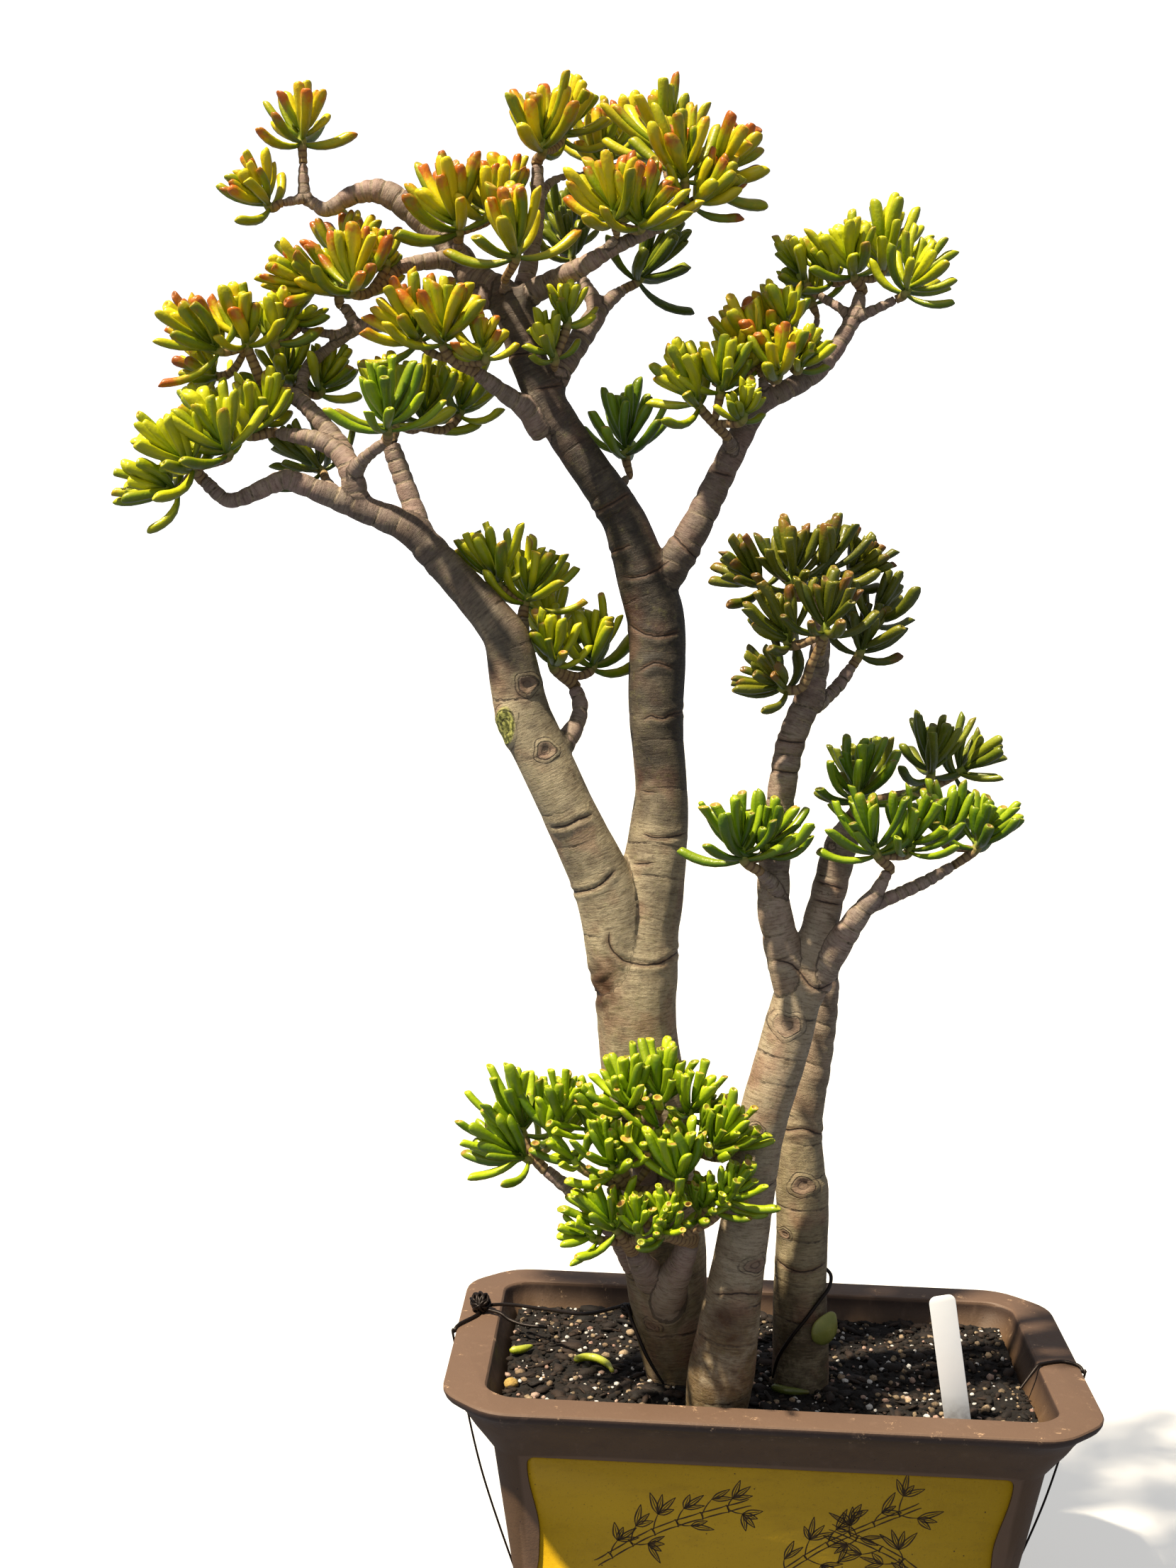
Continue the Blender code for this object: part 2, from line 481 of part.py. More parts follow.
class Crowd:
    """Round-ended rods that stand for the pieces placed so far, so that none meets another."""

    def __init__(self):
        self.rods, self.owners = [], []

    def add(self, owner, route, flat_start=False, flat_end=False):
        """A flat end is drawn back by its radius, since a rod's own end is round."""
        route = np.array(route, float)
        for flat, end, inner in ((flat_start, 0, 1), (flat_end, -1, -2)):
            if flat:
                run = route[inner, :3] - route[end, :3]
                route[end, :3] += run * min(0.95, route[end, 3] / np.linalg.norm(run))
        for a, b in zip(route[:-1], route[1:]):
            self.rods.append((*a[:3], *b[:3], max(a[3], b[3])))
            self.owners.append(owner)

    def room(self, owner, route):
        """Clear distance from everything of other owners, less the radii."""
        keep = np.array([o != owner for o in self.owners])
        if not keep.any():
            return 99.0
        rods = np.array(self.rods)[keep]
        best = 99.0
        for a, b in zip(route[:-1], route[1:]):
            far = segment_distance(a[:3], b[:3], rods[:, :3], rods[:, 3:6])
            best = min(best, float((far - rods[:, 6]).min()) - max(a[3], b[3]))
        return best


# ---------------------------------------------------------------- shoots and leaves

def head_axis(fan, lean):
    """A head's direction: fan is degrees from +X towards +Z, lean is degrees towards the front."""
    fan, lean = math.radians(fan), math.radians(lean)
    return np.array([math.cos(lean) * math.cos(fan), -math.sin(lean), math.cos(lean) * math.sin(fan)])


def stem_route(start, along, head, first):
    """The shoot from the twig's end, or from inside the first shoot, to a head and its green tip."""
    base, axis = np.array(head[:3], float), head_axis(*head[3:5])
    reach = np.linalg.norm(base - start)
    c1, c2 = start + along * reach * 0.35, base - axis * reach * 0.35
    count = max(1, round(reach / 17))
    route = [(*start, first)]
    start = start + along * (1.5 + 0.3 * first)
    for k in range(count + 1):
        t = k / count
        at = (start * (1 - t) ** 3 + 3 * c1 * t * (1 - t) ** 2 + 3 * c2 * t * t * (1 - t) + base * t ** 3)
        route.append((*at, first * (1 - t) + STEM_RADIUS * t))
    route.append((*(base + axis * STEM_TIP), STEM_RADIUS * 0.8))
    return np.array(route)


def leaf_route(base, axis, side, lift, length, radius, bend):
    """A leaf's middle line: it leaves the shoot at lift degrees from its axis and turns up along it."""
    route, at, angle = [], base.copy(), math.radians(lift)
    last = 0.0
    for along, part in LEAF_SHAPE:
        middle = angle - math.radians(bend) * (along + last) / 2
        at = at + (axis * math.cos(middle) + side * math.sin(middle)) * length * (along - last)
        route.append((*at, radius * part))
        last = along
    return np.array(route)


def head_leaves(head, rng):
    """Every leaf of a head as (pair, arguments of leaf_route), lowest pair first."""
    base, axis = np.array(head[:3], float), head_axis(*head[3:5])
    length, first = head[5], unit(np.cross(axis, (0.2, 0.97, 0.1)))
    second = np.cross(axis, first)
    turn = rng.uniform(0, 90)
    leaves = []
    for pair in range(PAIRS):
        inner = pair / (PAIRS - 1)
        for half in (0, 180):
            a = math.radians(turn + 90 * pair + half + rng.uniform(-17, 17))
            side = first * math.cos(a) + second * math.sin(a)
            lift = 88 - 72 * inner ** 0.85 + rng.uniform(-9, 9)
            reach = length * rng.uniform(0.88, 1.06) * (1 - 0.3 * inner * inner)
            thick = LEAF_RADIUS * (length / LEAF_LENGTH) ** 0.5 * rng.uniform(0.88, 1.12)
            bend = lift * 0.35 + rng.uniform(-8, 10)
            leaves.append((pair, (base + axis * (1 + HEAD_RISE * inner), axis, side, lift, reach, thick, bend)))
    return leaves


def settled(crowd, owner, leaf, rng):
    """The leaf's route, turned, lifted or shortened a little until it clears its neighbours."""
    base, axis, side, lift, reach, thick, bend = leaf
    for attempt in range(14):
        route = leaf_route(base, axis, side, lift, reach, thick, bend)
        if crowd.room(owner, route) > GAP + 0.35:
            return route
        turn = math.radians(rng.uniform(-34, 34))
        side = side * math.cos(turn) + np.cross(axis, side) * math.sin(turn)
        lift = leaf[3] + rng.uniform(-22, 12)
        bend = leaf[6] + rng.uniform(-25, 25)
        reach *= 0.97 if attempt < 7 else 0.93
    return None


def grown():
    """Routes of every branch, shoot and leaf: wood[tree][branch], shoots[spray], leaves[spray]."""
    crowd, wood, ends = Crowd(), {}, {}
    for tree, branches in TREES.items():
        wood[tree] = {}
        for name, points in branches.items():
            route = smooth_route(points, RING_STEP)
            wood[tree][name] = route
            ends[name] = route
            crowd.add(tree, route, flat_end=True)
    shoots, leaves = {}, {}
    for name, (branch, _, heads) in SPRAYS.items():
        end = ends[branch]
        along = unit(end[-1][:3] - end[-2][:3])
        start, first = end[-1][:3] + along * GAP, end[-1][3]
        shoots[name] = []
        for number, head in enumerate(heads):
            if number:
                trunk = shoots[name][0]
                start, first = trunk[2][:3], 2.4
                along = unit(np.array(head[:3], float) - start)
            shoots[name].append(stem_route(start, along, head, first))
        for place, route in enumerate(shoots[name]):
            crowd.add(name, route, flat_start=not place)
    for number, (name, (_, _, heads)) in enumerate(SPRAYS.items()):
        leaves[name] = []
        for place, head in enumerate(heads):
            rng = random.Random(SEED + 100 * number + place)
            for pair, leaf in head_leaves(head, rng):
                if pair not in SOLID_PAIRS:
                    continue
                route = settled(crowd, name, leaf, rng)
                if route is not None:
                    leaves[name].append(route)
                    crowd.add(name, route)
    return wood, shoots, leaves


# ---------------------------------------------------------------- pot and soil

def ring(height, half_x, half_y, clip):
    corners = [(half_x, half_y - clip), (half_x - clip, half_y), (clip - half_x, half_y),
               (-half_x, half_y - clip), (-half_x, clip - half_y), (clip - half_x, -half_y),
               (half_x - clip, -half_y), (half_x, clip - half_y)]
    return [(x, y, height) for x, y in corners]


def loft(name, rings, where, closed=False):
    """A lofted solid of clipped rectangles, or with closed, one whose last ring meets its first."""
    points = [p for r in rings for p in ring(*r)]
    count, faces = len(rings), []
    for r in range(count if closed else count - 1):
        for k in range(8):
            a, b = r * 8, (r + 1) % count * 8
            faces.append((a + k, a + (k + 1) % 8, b + (k + 1) % 8, b + k))
    if not closed:
        faces += [tuple(range(8))[::-1], tuple((count - 1) * 8 + k for k in range(8))]
    return mesh_object(name, points, faces, where)


def box(name, middle, sizes, where, turned=None):
    at = Matrix.Translation(middle) @ (turned or Matrix.Identity(3)).to_4x4() @ Matrix.Diagonal((*sizes, 1))
    return primitive(name, where, at, bmesh.ops.create_cube, size=1)


def cylinder(name, x, y, low, high, radius, sides, where):
    at = Matrix.Translation((x, y, (low + high) / 2))
    return primitive(name, where, at, bmesh.ops.create_cone, cap_ends=True, segments=sides,
                     radius1=radius, radius2=radius, depth=high - low)


def panel_outline():
    """Half of the panel's edge, top middle to bottom middle: round corner, then an ogee to the waist."""
    top, bottom = PANEL["top"], PANEL["bottom"]
    wide, waist = PANEL["half_top"], PANEL["half_waist"]
    half = [(wide - 10, top), (wide - 3, top - 3), (wide, top - 10)]
    for k in range(1, 6):
        t = k / 5
        half.append((wide + (waist - wide) * (3 * t * t - 2 * t ** 3), top - 10 - PANEL["ogee"] * t))
    lower = [(x, top + bottom - z) for x, z in reversed(half)]
    return half + lower


def panel_cutter(side, where):
    """The panel's outline laid on the front (side 1) or back (side -1) wall, sunk by its depth."""
    half = panel_outline()
    low, high = POT_OUTER[1], POT_OUTER[2]
    slope = math.atan2(high[2] - low[2], high[0] - low[0])
    edge = half + [(-x, z) for x, z in reversed(half)]
    edge = [(x, (z - low[0]) / math.cos(slope)) for x, z in edge]
    at = Matrix.Rotation(0 if side > 0 else math.pi, 4, "Z")
    at = at @ Matrix.Translation((0, -low[2] * MM, low[0] * MM)) @ Matrix.Rotation(math.pi / 2 + slope, 4, "X")
    return plate("panel_cutter", edge, -PANEL["depth"], 12, where, at)


def make_pot(where, tools):
    body = loft("pot", POT_OUTER, where)
    feet = []
    for sx in (-1, 1):
        for sy in (-1, 1):
            x, y = sx * FOOT_AT[0], sy * FOOT_AT[1]
            feet.append(box("foot", (x, y, FOOT[2] / 2), FOOT, tools))
    feet.append(cylinder("pad", 0, 0, 0, FOOT[2], PAD_RADIUS, 16, tools))
    union(body, feet, 0.5)
    inner = [(POT_INNER[0][0] + 10, *POT_INNER[0][1:])] + POT_INNER
    cutters = [loft("cavity", inner, tools), panel_cutter(1, tools), panel_cutter(-1, tools)]
    for sx in (-1, 1):
        cutters.append(cylinder("drain_cutter", sx * DRAIN_AT, 0, 2, 60, DRAIN_RADIUS, 12, tools))
        cutters.append(box("seat_cutter", (sx * DRAIN_AT, 0, SOIL_FLOOR - MESH_SINK + 8),
                           (MESH_SIDE + 2 * GAP, MESH_SIDE + 2 * GAP, 16), tools))
    cut(body, cutters)
    finish(body, "pot", 0.75, smooth=False)
    return body


def make_drain_mesh(name, x, where):
    """A small square plate over a drain hole, open in the middle."""
    work = bmesh.new()
    low = Matrix.Translation((x * MM, 0, (SOIL_FLOOR - MESH_SINK + GAP) * MM))
    bmesh.ops.create_grid(work, x_segments=3, y_segments=3, size=MESH_SIDE / 2 * MM, matrix=low)
    middle = min(work.faces, key=lambda face: (face.calc_center_median() - low.translation).length)
    bmesh.ops.delete(work, geom=[middle], context="FACES_ONLY")
    mesh = bpy.data.meshes.new(name)
    work.to_mesh(mesh)
    work.free()
    obj = placed(name, mesh, where)
    thick = obj.modifiers.new("thickness", "SOLIDIFY")
    thick.thickness, thick.offset = MESH_THICK * MM, 1
    finish(obj, "drain", 0.5, smooth=False)
    return obj


def soil_height(x, y):
    """Lumpy, a little lower at the walls and heaped round the trunks."""
    lumps = 1.5 * math.sin(x / 17 + 1.3) * math.cos(y / 13) + 1.1 * math.sin(x / 41 - y / 23 + 0.6)
    heap = 4.5 * math.exp(-((x + 20) ** 2 / 90 ** 2 + (y + 45) ** 2 / 60 ** 2))
    wall = 3.0 * max(0, (abs(x) - 150) / 45) ** 2 + 2.0 * max(0, (abs(y) - 80) / 30) ** 2
    return SOIL_TOP + lumps + heap - wall


def on_soil(x, y, radius):
    """The height of a thin piece's end that rests on the soil."""
    reach = (-6, 0, 6)
    return max(soil_height(x + dx, y + dy) for dx in reach for dy in reach) + radius + 2 * GAP


def trunk_foot(tree):
    """A trunk's rings in the soil, and the next two above it."""
    route = smooth_route(next(iter(TREES[tree].values())), RING_STEP)
    return route[:np.argmax(route[:, 2] > SOIL_TOP + 12) + 2]


def soil_lid(where):
    """Everything under the soil's surface: a grid raised by the formula, then extruded down."""
    half_x, half_y = 210, 125
    work = bmesh.new()
    bmesh.ops.create_grid(work, x_segments=2 * math.ceil(half_x / SOIL_CELL),
                          y_segments=2 * math.ceil(half_y / SOIL_CELL), size=1)
    for vert in work.verts:
        x, y = vert.co.x * half_x, vert.co.y * half_y
        vert.co = Vector((x, y, soil_height(x, y))) * MM
    low = bmesh.ops.extrude_face_region(work, geom=work.faces[:], use_keep_orig=True)
    for item in low["geom"]:
        if isinstance(item, bmesh.types.BMVert):
            item.co.z = 0
    bmesh.ops.recalc_face_normals(work, faces=work.faces)
    mesh = bpy.data.meshes.new("soil_lid")
    work.to_mesh(mesh)
    work.free()
    return placed("soil_lid", mesh, where)


def make_soil(where, tools):
    inner = POT_INNER[::-1]
    rings = [(inner[0][0] + GAP, *[v - GAP for v in inner[0][1:3]], inner[0][3])]
    rings += [(r[0], r[1] - GAP, r[2] - GAP, r[3]) for r in inner[1:-1]]
    rings.append((inner[-1][0] + 6, inner[-1][1] - GAP, inner[-1][2] - GAP, inner[-1][3]))
    body = loft("soil", rings, where)
    cut(body, [soil_lid(tools)], "INTERSECT")
    holes = []
    for tree in TREES:
        foot = trunk_foot(tree).copy()
        rounding = branch_rounding(next(iter(TREES[tree].values())))
        down = unit(foot[0][:3] - foot[1][:3])
        foot[0][:3] += down * GAP
        foot[:, 3] += 2 * GAP
        holes.append(tube("hole", foot, rounding, tools))
    turned, middle, sizes = label_place()
    holes.append(box("slot", middle, [s + 2 * GAP for s in sizes], tools, turned))
    cut(body, holes, solver="MANIFOLD")
    tidy(body, 0.5)
    finish(body, "soil", 0.95, smooth=False)
    return body


# ---------------------------------------------------------------- trees

def make_tree(tree, routes, where):
    """Trunk, limbs and twigs of one tree, fused."""
    tubes = []
    for name, route in routes.items():
        tubes.append(tube(name, route, branch_rounding(route), where, tilt=0.13 * len(tubes)))
    body = tubes.pop(0)
    body.name = tree
    if not union(body, tubes, FLAT_WOOD):
        print(tree, "left loose or open pieces")
    finish(body, tree, 0.8)
    return body


def make_spray(name, shoots, leaves, tone, where):
    """One leafy spray: its shoots and the leaves rooted in them, fused."""
    rods = []
    for route in shoots:
        rods.append(tube("shoot" if rods else name, route, 0, where, tilt=0.3 * len(rods)))
    for route in leaves:
        rods.append(tube("leaf", route, 0, where, tilt=0.37 * len(rods)))
    body = rods.pop(0)
    if not union(body, rods, FLAT_LEAF):
        print(name, "left loose or open pieces")
    finish(body, tone, 0.4)
    return body


# ---------------------------------------------------------------- small pieces

def make_wire(name, points, where):
    """A wire. An end that comes down to the soil rests on it."""
    route = smooth_route([(*p, WIRE_RADIUS) for p in points], WIRE_STEP)
    for end in (route[0], route[-1]):
        if end[2] < SOIL_TOP + 12:
            end[2] = on_soil(end[0], end[1], WIRE_RADIUS)
    obj = tube(name, route, 2, where)
    finish(obj, "wire", 0.45)
    return obj


def label_place():
    """(rotation, middle, sizes) of the label's blade."""
    foot, top, wide, thick = LABEL
    foot, top = Vector(foot), Vector(top)
    up = (top - foot).normalized()
    across = Vector((1, 0.05, 0))
    across = (across - up * across.dot(up)).normalized()
    turned = Matrix((across, up.cross(across), up)).transposed()
    return turned, (foot + top) / 2, (wide, thick, (top - foot).length)


def make_label(where):
    turned, middle, (wide, thick, tall) = label_place()
    corner, half = 5, wide / 2
    edge = [(-half, -tall / 2), (half, -tall / 2)]
    for sign, start in ((1, 0), (-1, 90)):
        for k in range(4):
            a = math.radians(start + 30 * k)
            edge.append((sign * (half - corner) + corner * math.cos(a), tall / 2 - corner + corner * math.sin(a)))
    at = Matrix.Translation(middle * MM) @ turned.to_4x4() @ Matrix.Rotation(math.pi / 2, 4, "X")
    obj = plate("plant_label", edge, -thick / 2, thick / 2, where, at)
    finish(obj, "label", 0.35, smooth=False)
    return obj


def lower_onto(obj, ground, way=(0, 0, -1)):
    """Moves a piece straight down, or another way, until it clears the ground by the gap."""
    way = Vector(way).normalized()
    graph = bpy.context.evaluated_depsgraph_get()
    graph.update()
    low, high = BVHTree.FromObject(ground, graph), BVHTree.FromObject(obj, graph)
    spots = [vert.co for vert in obj.data.vertices]
    for edge in obj.data.edges:
        start, end = (obj.data.vertices[index].co for index in edge.vertices)
        spots += [start.lerp(end, part / 6) for part in range(1, 6)]
    falls = [low.ray_cast(spot, way)[3] for spot in spots]
    falls += [high.ray_cast(vert.co, -way)[3] for vert in ground.data.vertices]
    drop = min(fall for fall in falls if fall is not None) - GAP * MM
    obj.data.transform(Matrix.Translation(way * drop))


def make_fallen(number, points, soil, where):
    """A leaf lying on the soil."""
    flat = smooth_route([(x, y, 0, 9) for x, y in points], 14)[:, :2]
    route = []
    for k, (x, y) in enumerate(flat):
        t = k / (len(flat) - 1)
        radius = FALLEN_RADIUS * (0.62 + 0.38 * math.sin(math.pi * min(1, 0.15 + t)) ** 0.6)
        route.append((x, y, SOIL_TOP + 30, radius))
    obj = tube(f"fallen_leaf_{number}", np.array(route, float), 1, where)
    lower_onto(obj, soil)
    finish(obj, "fallen", 0.45)
    return obj


def make_tucked(trunk, where):
    """A broad leaf, thin at its edge, leaning on the rear trunk."""
    middle, half = TUCKED
    turned = Matrix.Rotation(math.radians(25), 4, "Z") @ Matrix.Rotation(math.radians(28), 4, "Y")
    at = Matrix.Translation(middle) @ turned @ Matrix.Diagonal((*half, 1))
    obj = primitive("tucked_leaf", where, at, bmesh.ops.create_uvsphere, u_segments=10, v_segments=5, radius=1)
    lower_onto(obj, trunk, (-0.65, 0.76, 0))
    finish(obj, "fallen", 0.4)
    return obj


def main():
    clear_scene()
    parts, tools = collection("jade_bonsai"), collection("cutters")
    wood, shoots, leaves = grown()
    make_pot(parts, tools)
    soil = make_soil(parts, tools)
    for name, x in (("drain_mesh_left", -DRAIN_AT), ("drain_mesh_right", DRAIN_AT)):
        make_drain_mesh(name, x, parts)
    for tree, routes in wood.items():
        trunk = make_tree(tree, routes, parts)
    for name, (_, tone, _) in SPRAYS.items():
        make_spray(name, shoots[name], leaves[name], tone, parts)
    make_wire("tie_wire", TIE_WIRE, parts)
    make_wire("loop_wire", LOOP_WIRE, parts)
    make_label(parts)
    for number, points in enumerate(FALLEN):
        make_fallen(number + 1, points, soil, parts)
    make_tucked(trunk, parts)


main()
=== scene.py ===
"""Looks of a potted jade bonsai: three jade trees with tube-shaped, cup-ended leaves in a clay pot.

Lengths in the tables are millimetres. +Z is up, -Y is the pot's front, and the origin lies on the
ground under the middle of the pot.
"""
import math
import random

import bmesh
import bpy
import numpy as np
from mathutils import Matrix, Vector


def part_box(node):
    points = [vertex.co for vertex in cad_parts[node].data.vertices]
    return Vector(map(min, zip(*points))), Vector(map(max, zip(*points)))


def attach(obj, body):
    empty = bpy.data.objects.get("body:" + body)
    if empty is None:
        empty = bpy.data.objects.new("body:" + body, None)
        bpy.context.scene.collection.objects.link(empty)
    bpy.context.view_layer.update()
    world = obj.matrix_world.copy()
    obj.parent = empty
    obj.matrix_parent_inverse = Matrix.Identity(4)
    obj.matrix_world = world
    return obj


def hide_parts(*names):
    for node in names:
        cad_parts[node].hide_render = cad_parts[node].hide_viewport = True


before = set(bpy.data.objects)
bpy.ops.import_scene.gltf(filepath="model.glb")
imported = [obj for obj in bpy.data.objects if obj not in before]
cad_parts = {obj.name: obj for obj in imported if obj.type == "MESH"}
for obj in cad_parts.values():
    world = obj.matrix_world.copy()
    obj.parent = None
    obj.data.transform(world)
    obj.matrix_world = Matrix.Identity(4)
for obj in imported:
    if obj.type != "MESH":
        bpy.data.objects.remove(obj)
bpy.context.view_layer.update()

MM = 0.001
GAP = 0.3
SEED = 11

# Wood. Each route is a list of (x, y, z, radius), from where the branch leaves to where it ends.
TREES = {
    "main_tree": {
        "main_trunk": [(-51, -28, 126, 22), (-56, -31, 176, 23), (-74, -41, 272, 29.5),
            (-78, -43, 300, 30), (-87, -44, 352, 29.5), (-102, -42, 462, 29), (-104, -41, 492, 28.5),
            (-102, -40, 522, 25), (-96, -38, 552, 22), (-93, -34, 606, 19.5), (-93, -32, 631, 18.5),
            (-98, -28, 684, 19.5), (-100, -25, 733, 19), (-105, -24, 757, 19), (-121, -24, 798, 16),
            (-133, -25, 819, 15), (-183, -32, 890, 12.5), (-202, -32, 936, 12), (-205, -30, 950, 12.5),
            (-207, -28, 958, 11)],
        "limb_left": [(-110, -44, 490, 23.5), (-132, -50, 563, 20.5), (-181, -57, 659, 18.5),
            (-189, -58, 678, 18), (-199, -58, 719, 15.5), (-210, -57, 737, 14), (-256, -55, 785, 11.5),
            (-271, -56, 798, 10.5), (-307, -58, 811, 8), (-348, -64, 826, 6.5), (-359, -66, 824, 6),
            (-381, -69, 813, 5), (-392, -70, 812, 4.5), (-406, -70, 824, 4.5)],
        "limb_upright": [(-257, -50, 782, 7.5), (-270, -40, 814, 6.5), (-286, -34, 853, 6)],
        "limb_fork": [(-302, -58, 807, 6), (-309, -60, 833, 6.5), (-314, -58, 842, 6),
            (-325, -54, 850, 5), (-338, -50, 855, 5), (-363, -45, 858, 3.5)],
        "twig_front": [(-308, -62, 831, 5), (-299, -70, 842, 4), (-284, -82, 853, 3.5)],
        "limb_chain": [(-313, -52, 840, 5.5), (-322, -42, 854, 5.5), (-349, -31, 881, 4.5),
            (-374, -30, 893, 4)],
        "stub_l5": [(-351, -30, 880, 3.5), (-350, -12, 886, 2.5)],
        "stub_l6": [(-319, -58, 817, 4.5), (-328, -41, 827, 3)],
        "twig_rise": [(-347, -29, 878, 4), (-350, -22, 891, 3.5), (-348, -16, 903, 3.5),
            (-342, -12, 911, 3.5), (-333, -10, 919, 3), (-313, -12, 933, 4), (-293, -16, 934, 3.5)],
        "twig_r5": [(-316, -12, 932, 3), (-329, -14, 928, 3), (-351, -22, 929, 2.5)],
        "twig_r3": [(-315, -12, 934, 3.5), (-320, -14, 943, 3.5), (-324, -16, 947, 3.5)],
        "limb_top_left": [(-205, -28, 944, 10.5), (-213, -24, 956, 9), (-235, -17, 969, 8),
            (-249, -12, 987, 6.5), (-293, -5, 1023, 6.5), (-318, -3, 1024, 5), (-337, -2, 1013, 4),
            (-346, -1, 1016, 3.5), (-354, 0, 1023, 3.5), (-356, 2, 1044, 3)],
        "stub_pruned": [(-221, -22, 960, 6.5), (-232, -31, 949, 5.5)],
        "twig_t11": [(-241, -18, 977, 4.5), (-244, -28, 986, 4), (-244, -31, 990, 3.5)],
        "arm_left": [(-244, -16, 979, 5.5), (-257, -22, 979, 4.5), (-278, -31, 974, 4),
            (-284, -33, 970, 4)],
        "twig_r2": [(-351, -1, 1021, 3), (-368, -6, 1016, 3)],
        "stub_t10": [(-212, -32, 955, 3.5), (-210, -49, 964, 3)],
        "limb_top_right": [(-203, -30, 945, 8), (-194, -34, 957, 6.5), (-158, -44, 976, 5),
            (-138, -47, 988, 4), (-103, -40, 1006, 3.5)],
        "twig_t2": [(-145, -46, 983, 3), (-138, -54, 994, 2.5)],
        "twig_t1": [(-203, -22, 945, 7.5), (-199, -12, 969, 6), (-195, -7, 993, 5), (-193, -6, 1015, 5),
            (-194, -6, 1047, 4)],
        "twig_t8": [(-193, -4, 1019, 3), (-187, 8, 1036, 3), (-176, 20, 1044, 2.5),
            (-165, 30, 1047, 2.5)],
        "limb_right_up": [(-181, -30, 886, 8.5), (-175, -26, 904, 7.5), (-154, -10, 941, 6.5),
            (-150, -4, 952, 5.5), (-164, 18, 978, 3.5)],
        "twig_t20": [(-152, -8, 944, 4.5), (-141, 2, 959, 4.5), (-132, 10, 967, 3.5)],
        "stub_t18": [(-170, -28, 904, 3), (-175, -46, 907, 2)],
        "stub_t15": [(-181, -34, 865, 8), (-193, -42, 880, 7), (-206, -48, 888, 5.5),
            (-227, -56, 902, 4.5)],
        "limb_right": [(-105, -26, 753, 13.5), (-78, -26, 802, 10), (-40, -26, 885, 8),
            (-32, -26, 893, 7.5), (3, -22, 914, 6), (25, -16, 949, 5), (30, -12, 968, 4)],
        "twig_f9": [(25, -16, 948, 3.5), (18, -12, 956, 3), (2, -5, 966, 3)],
        "twig_f14": [(25, -16, 949, 3.5), (52, -28, 962, 3)],
        "twig_f8": [(5, -20, 918, 3.5), (0, -14, 927, 3), (2, 2, 951, 2)],
        "twig_f5b": [(4, -20, 917, 3), (0, -28, 923, 3), (-4, -32, 927, 2.5)],
        "twig_f5": [(-31, -26, 892, 4), (-36, -33, 908, 2.5)],
        "twig_f1": [(-51, -28, 855, 4.5), (-58, -43, 866, 3.5)],
        "stub_t23": [(-135, -20, 824, 5), (-124, -8, 838, 2.5)],
        "stub_l8": [(-196, -52, 714, 6), (-192, -40, 730, 4.5), (-192, -36, 739, 4)],
        "twig_l9": [(-165, -50, 648, 7), (-156, -42, 661, 6), (-151, -36, 672, 5), (-151, -32, 683, 5),
            (-155, -30, 692, 4.5)],
        "shoot_front": [(-75, -58, 258, 11), (-71, -80, 289, 10), (-61, -98, 324, 6.5)],
        "shoot_front_left": [(-82, -60, 281, 10), (-92, -86, 301, 8), (-99, -99, 316, 5.5)],
        "shoot_left": [(-90, -50, 278, 9), (-107, -72, 312, 6.5), (-117, -80, 326, 5.5),
            (-139, -86, 349, 5), (-161, -86, 366, 4)],
        "shoot_mid": [(-84, -60, 311, 9), (-87, -88, 334, 7), (-91, -100, 351, 5)],
        "shoot_top": [(-89, -62, 352, 9), (-95, -84, 371, 6.5), (-99, -90, 380, 5.5)],
        "shoot_top_right": [(-83, -60, 347, 8.5), (-69, -92, 379, 5)],
    },
    "front_tree": {
        "front_trunk": [(-37, -79, 183, 19.5), (-36, -88, 224, 22), (-34, -91, 248, 21),
            (-28, -94, 295, 19), (-21, -94, 370, 17), (-13, -93, 419, 16), (3, -91, 488, 16.5),
            (16, -89, 541, 12), (28, -86, 594, 10.5), (35, -86, 612, 7.5)],
        "stem_left": [(3, -92, 495, 13), (-10, -97, 537, 11), (-16, -100, 570, 10), (-11, -97, 655, 9),
            (3, -94, 700, 8.5), (8, -92, 728, 6), (6, -90, 748, 4.5)],
        "twig_b6": [(6, -92, 691, 5), (15, -86, 697, 4), (23, -80, 705, 4), (31, -76, 717, 3.5)],
        "stub_b2": [(7, -98, 719, 3.5), (7, -114, 727, 2.5)],
        "twig_b8": [(-11, -104, 564, 4.5), (-18, -112, 574, 4), (-26, -118, 582, 3.5)],
        "stem_right": [(10, -92, 497, 10), (38, -105, 550, 7), (51, -109, 570, 4.5),
            (58, -110, 585, 3.5)],
        "twig_b9e": [(45, -106, 559, 4), (82, -98, 576, 4), (103, -92, 588, 3)],
        "stub_cut": [(28, -88, 595, 3.5), (23, -92, 597, 3.5)],
    },
    "rear_tree": {
        "rear_trunk": [(25, -34, 155, 19.5), (19, -34, 328, 19), (17, -34, 353, 17.5),
            (17, -36, 400, 13), (27, -44, 481, 9.5), (23, -43, 535, 7.5), (25, -41, 560, 7),
            (30, -38, 582, 6.5), (42, -32, 601, 6)],
    },
}

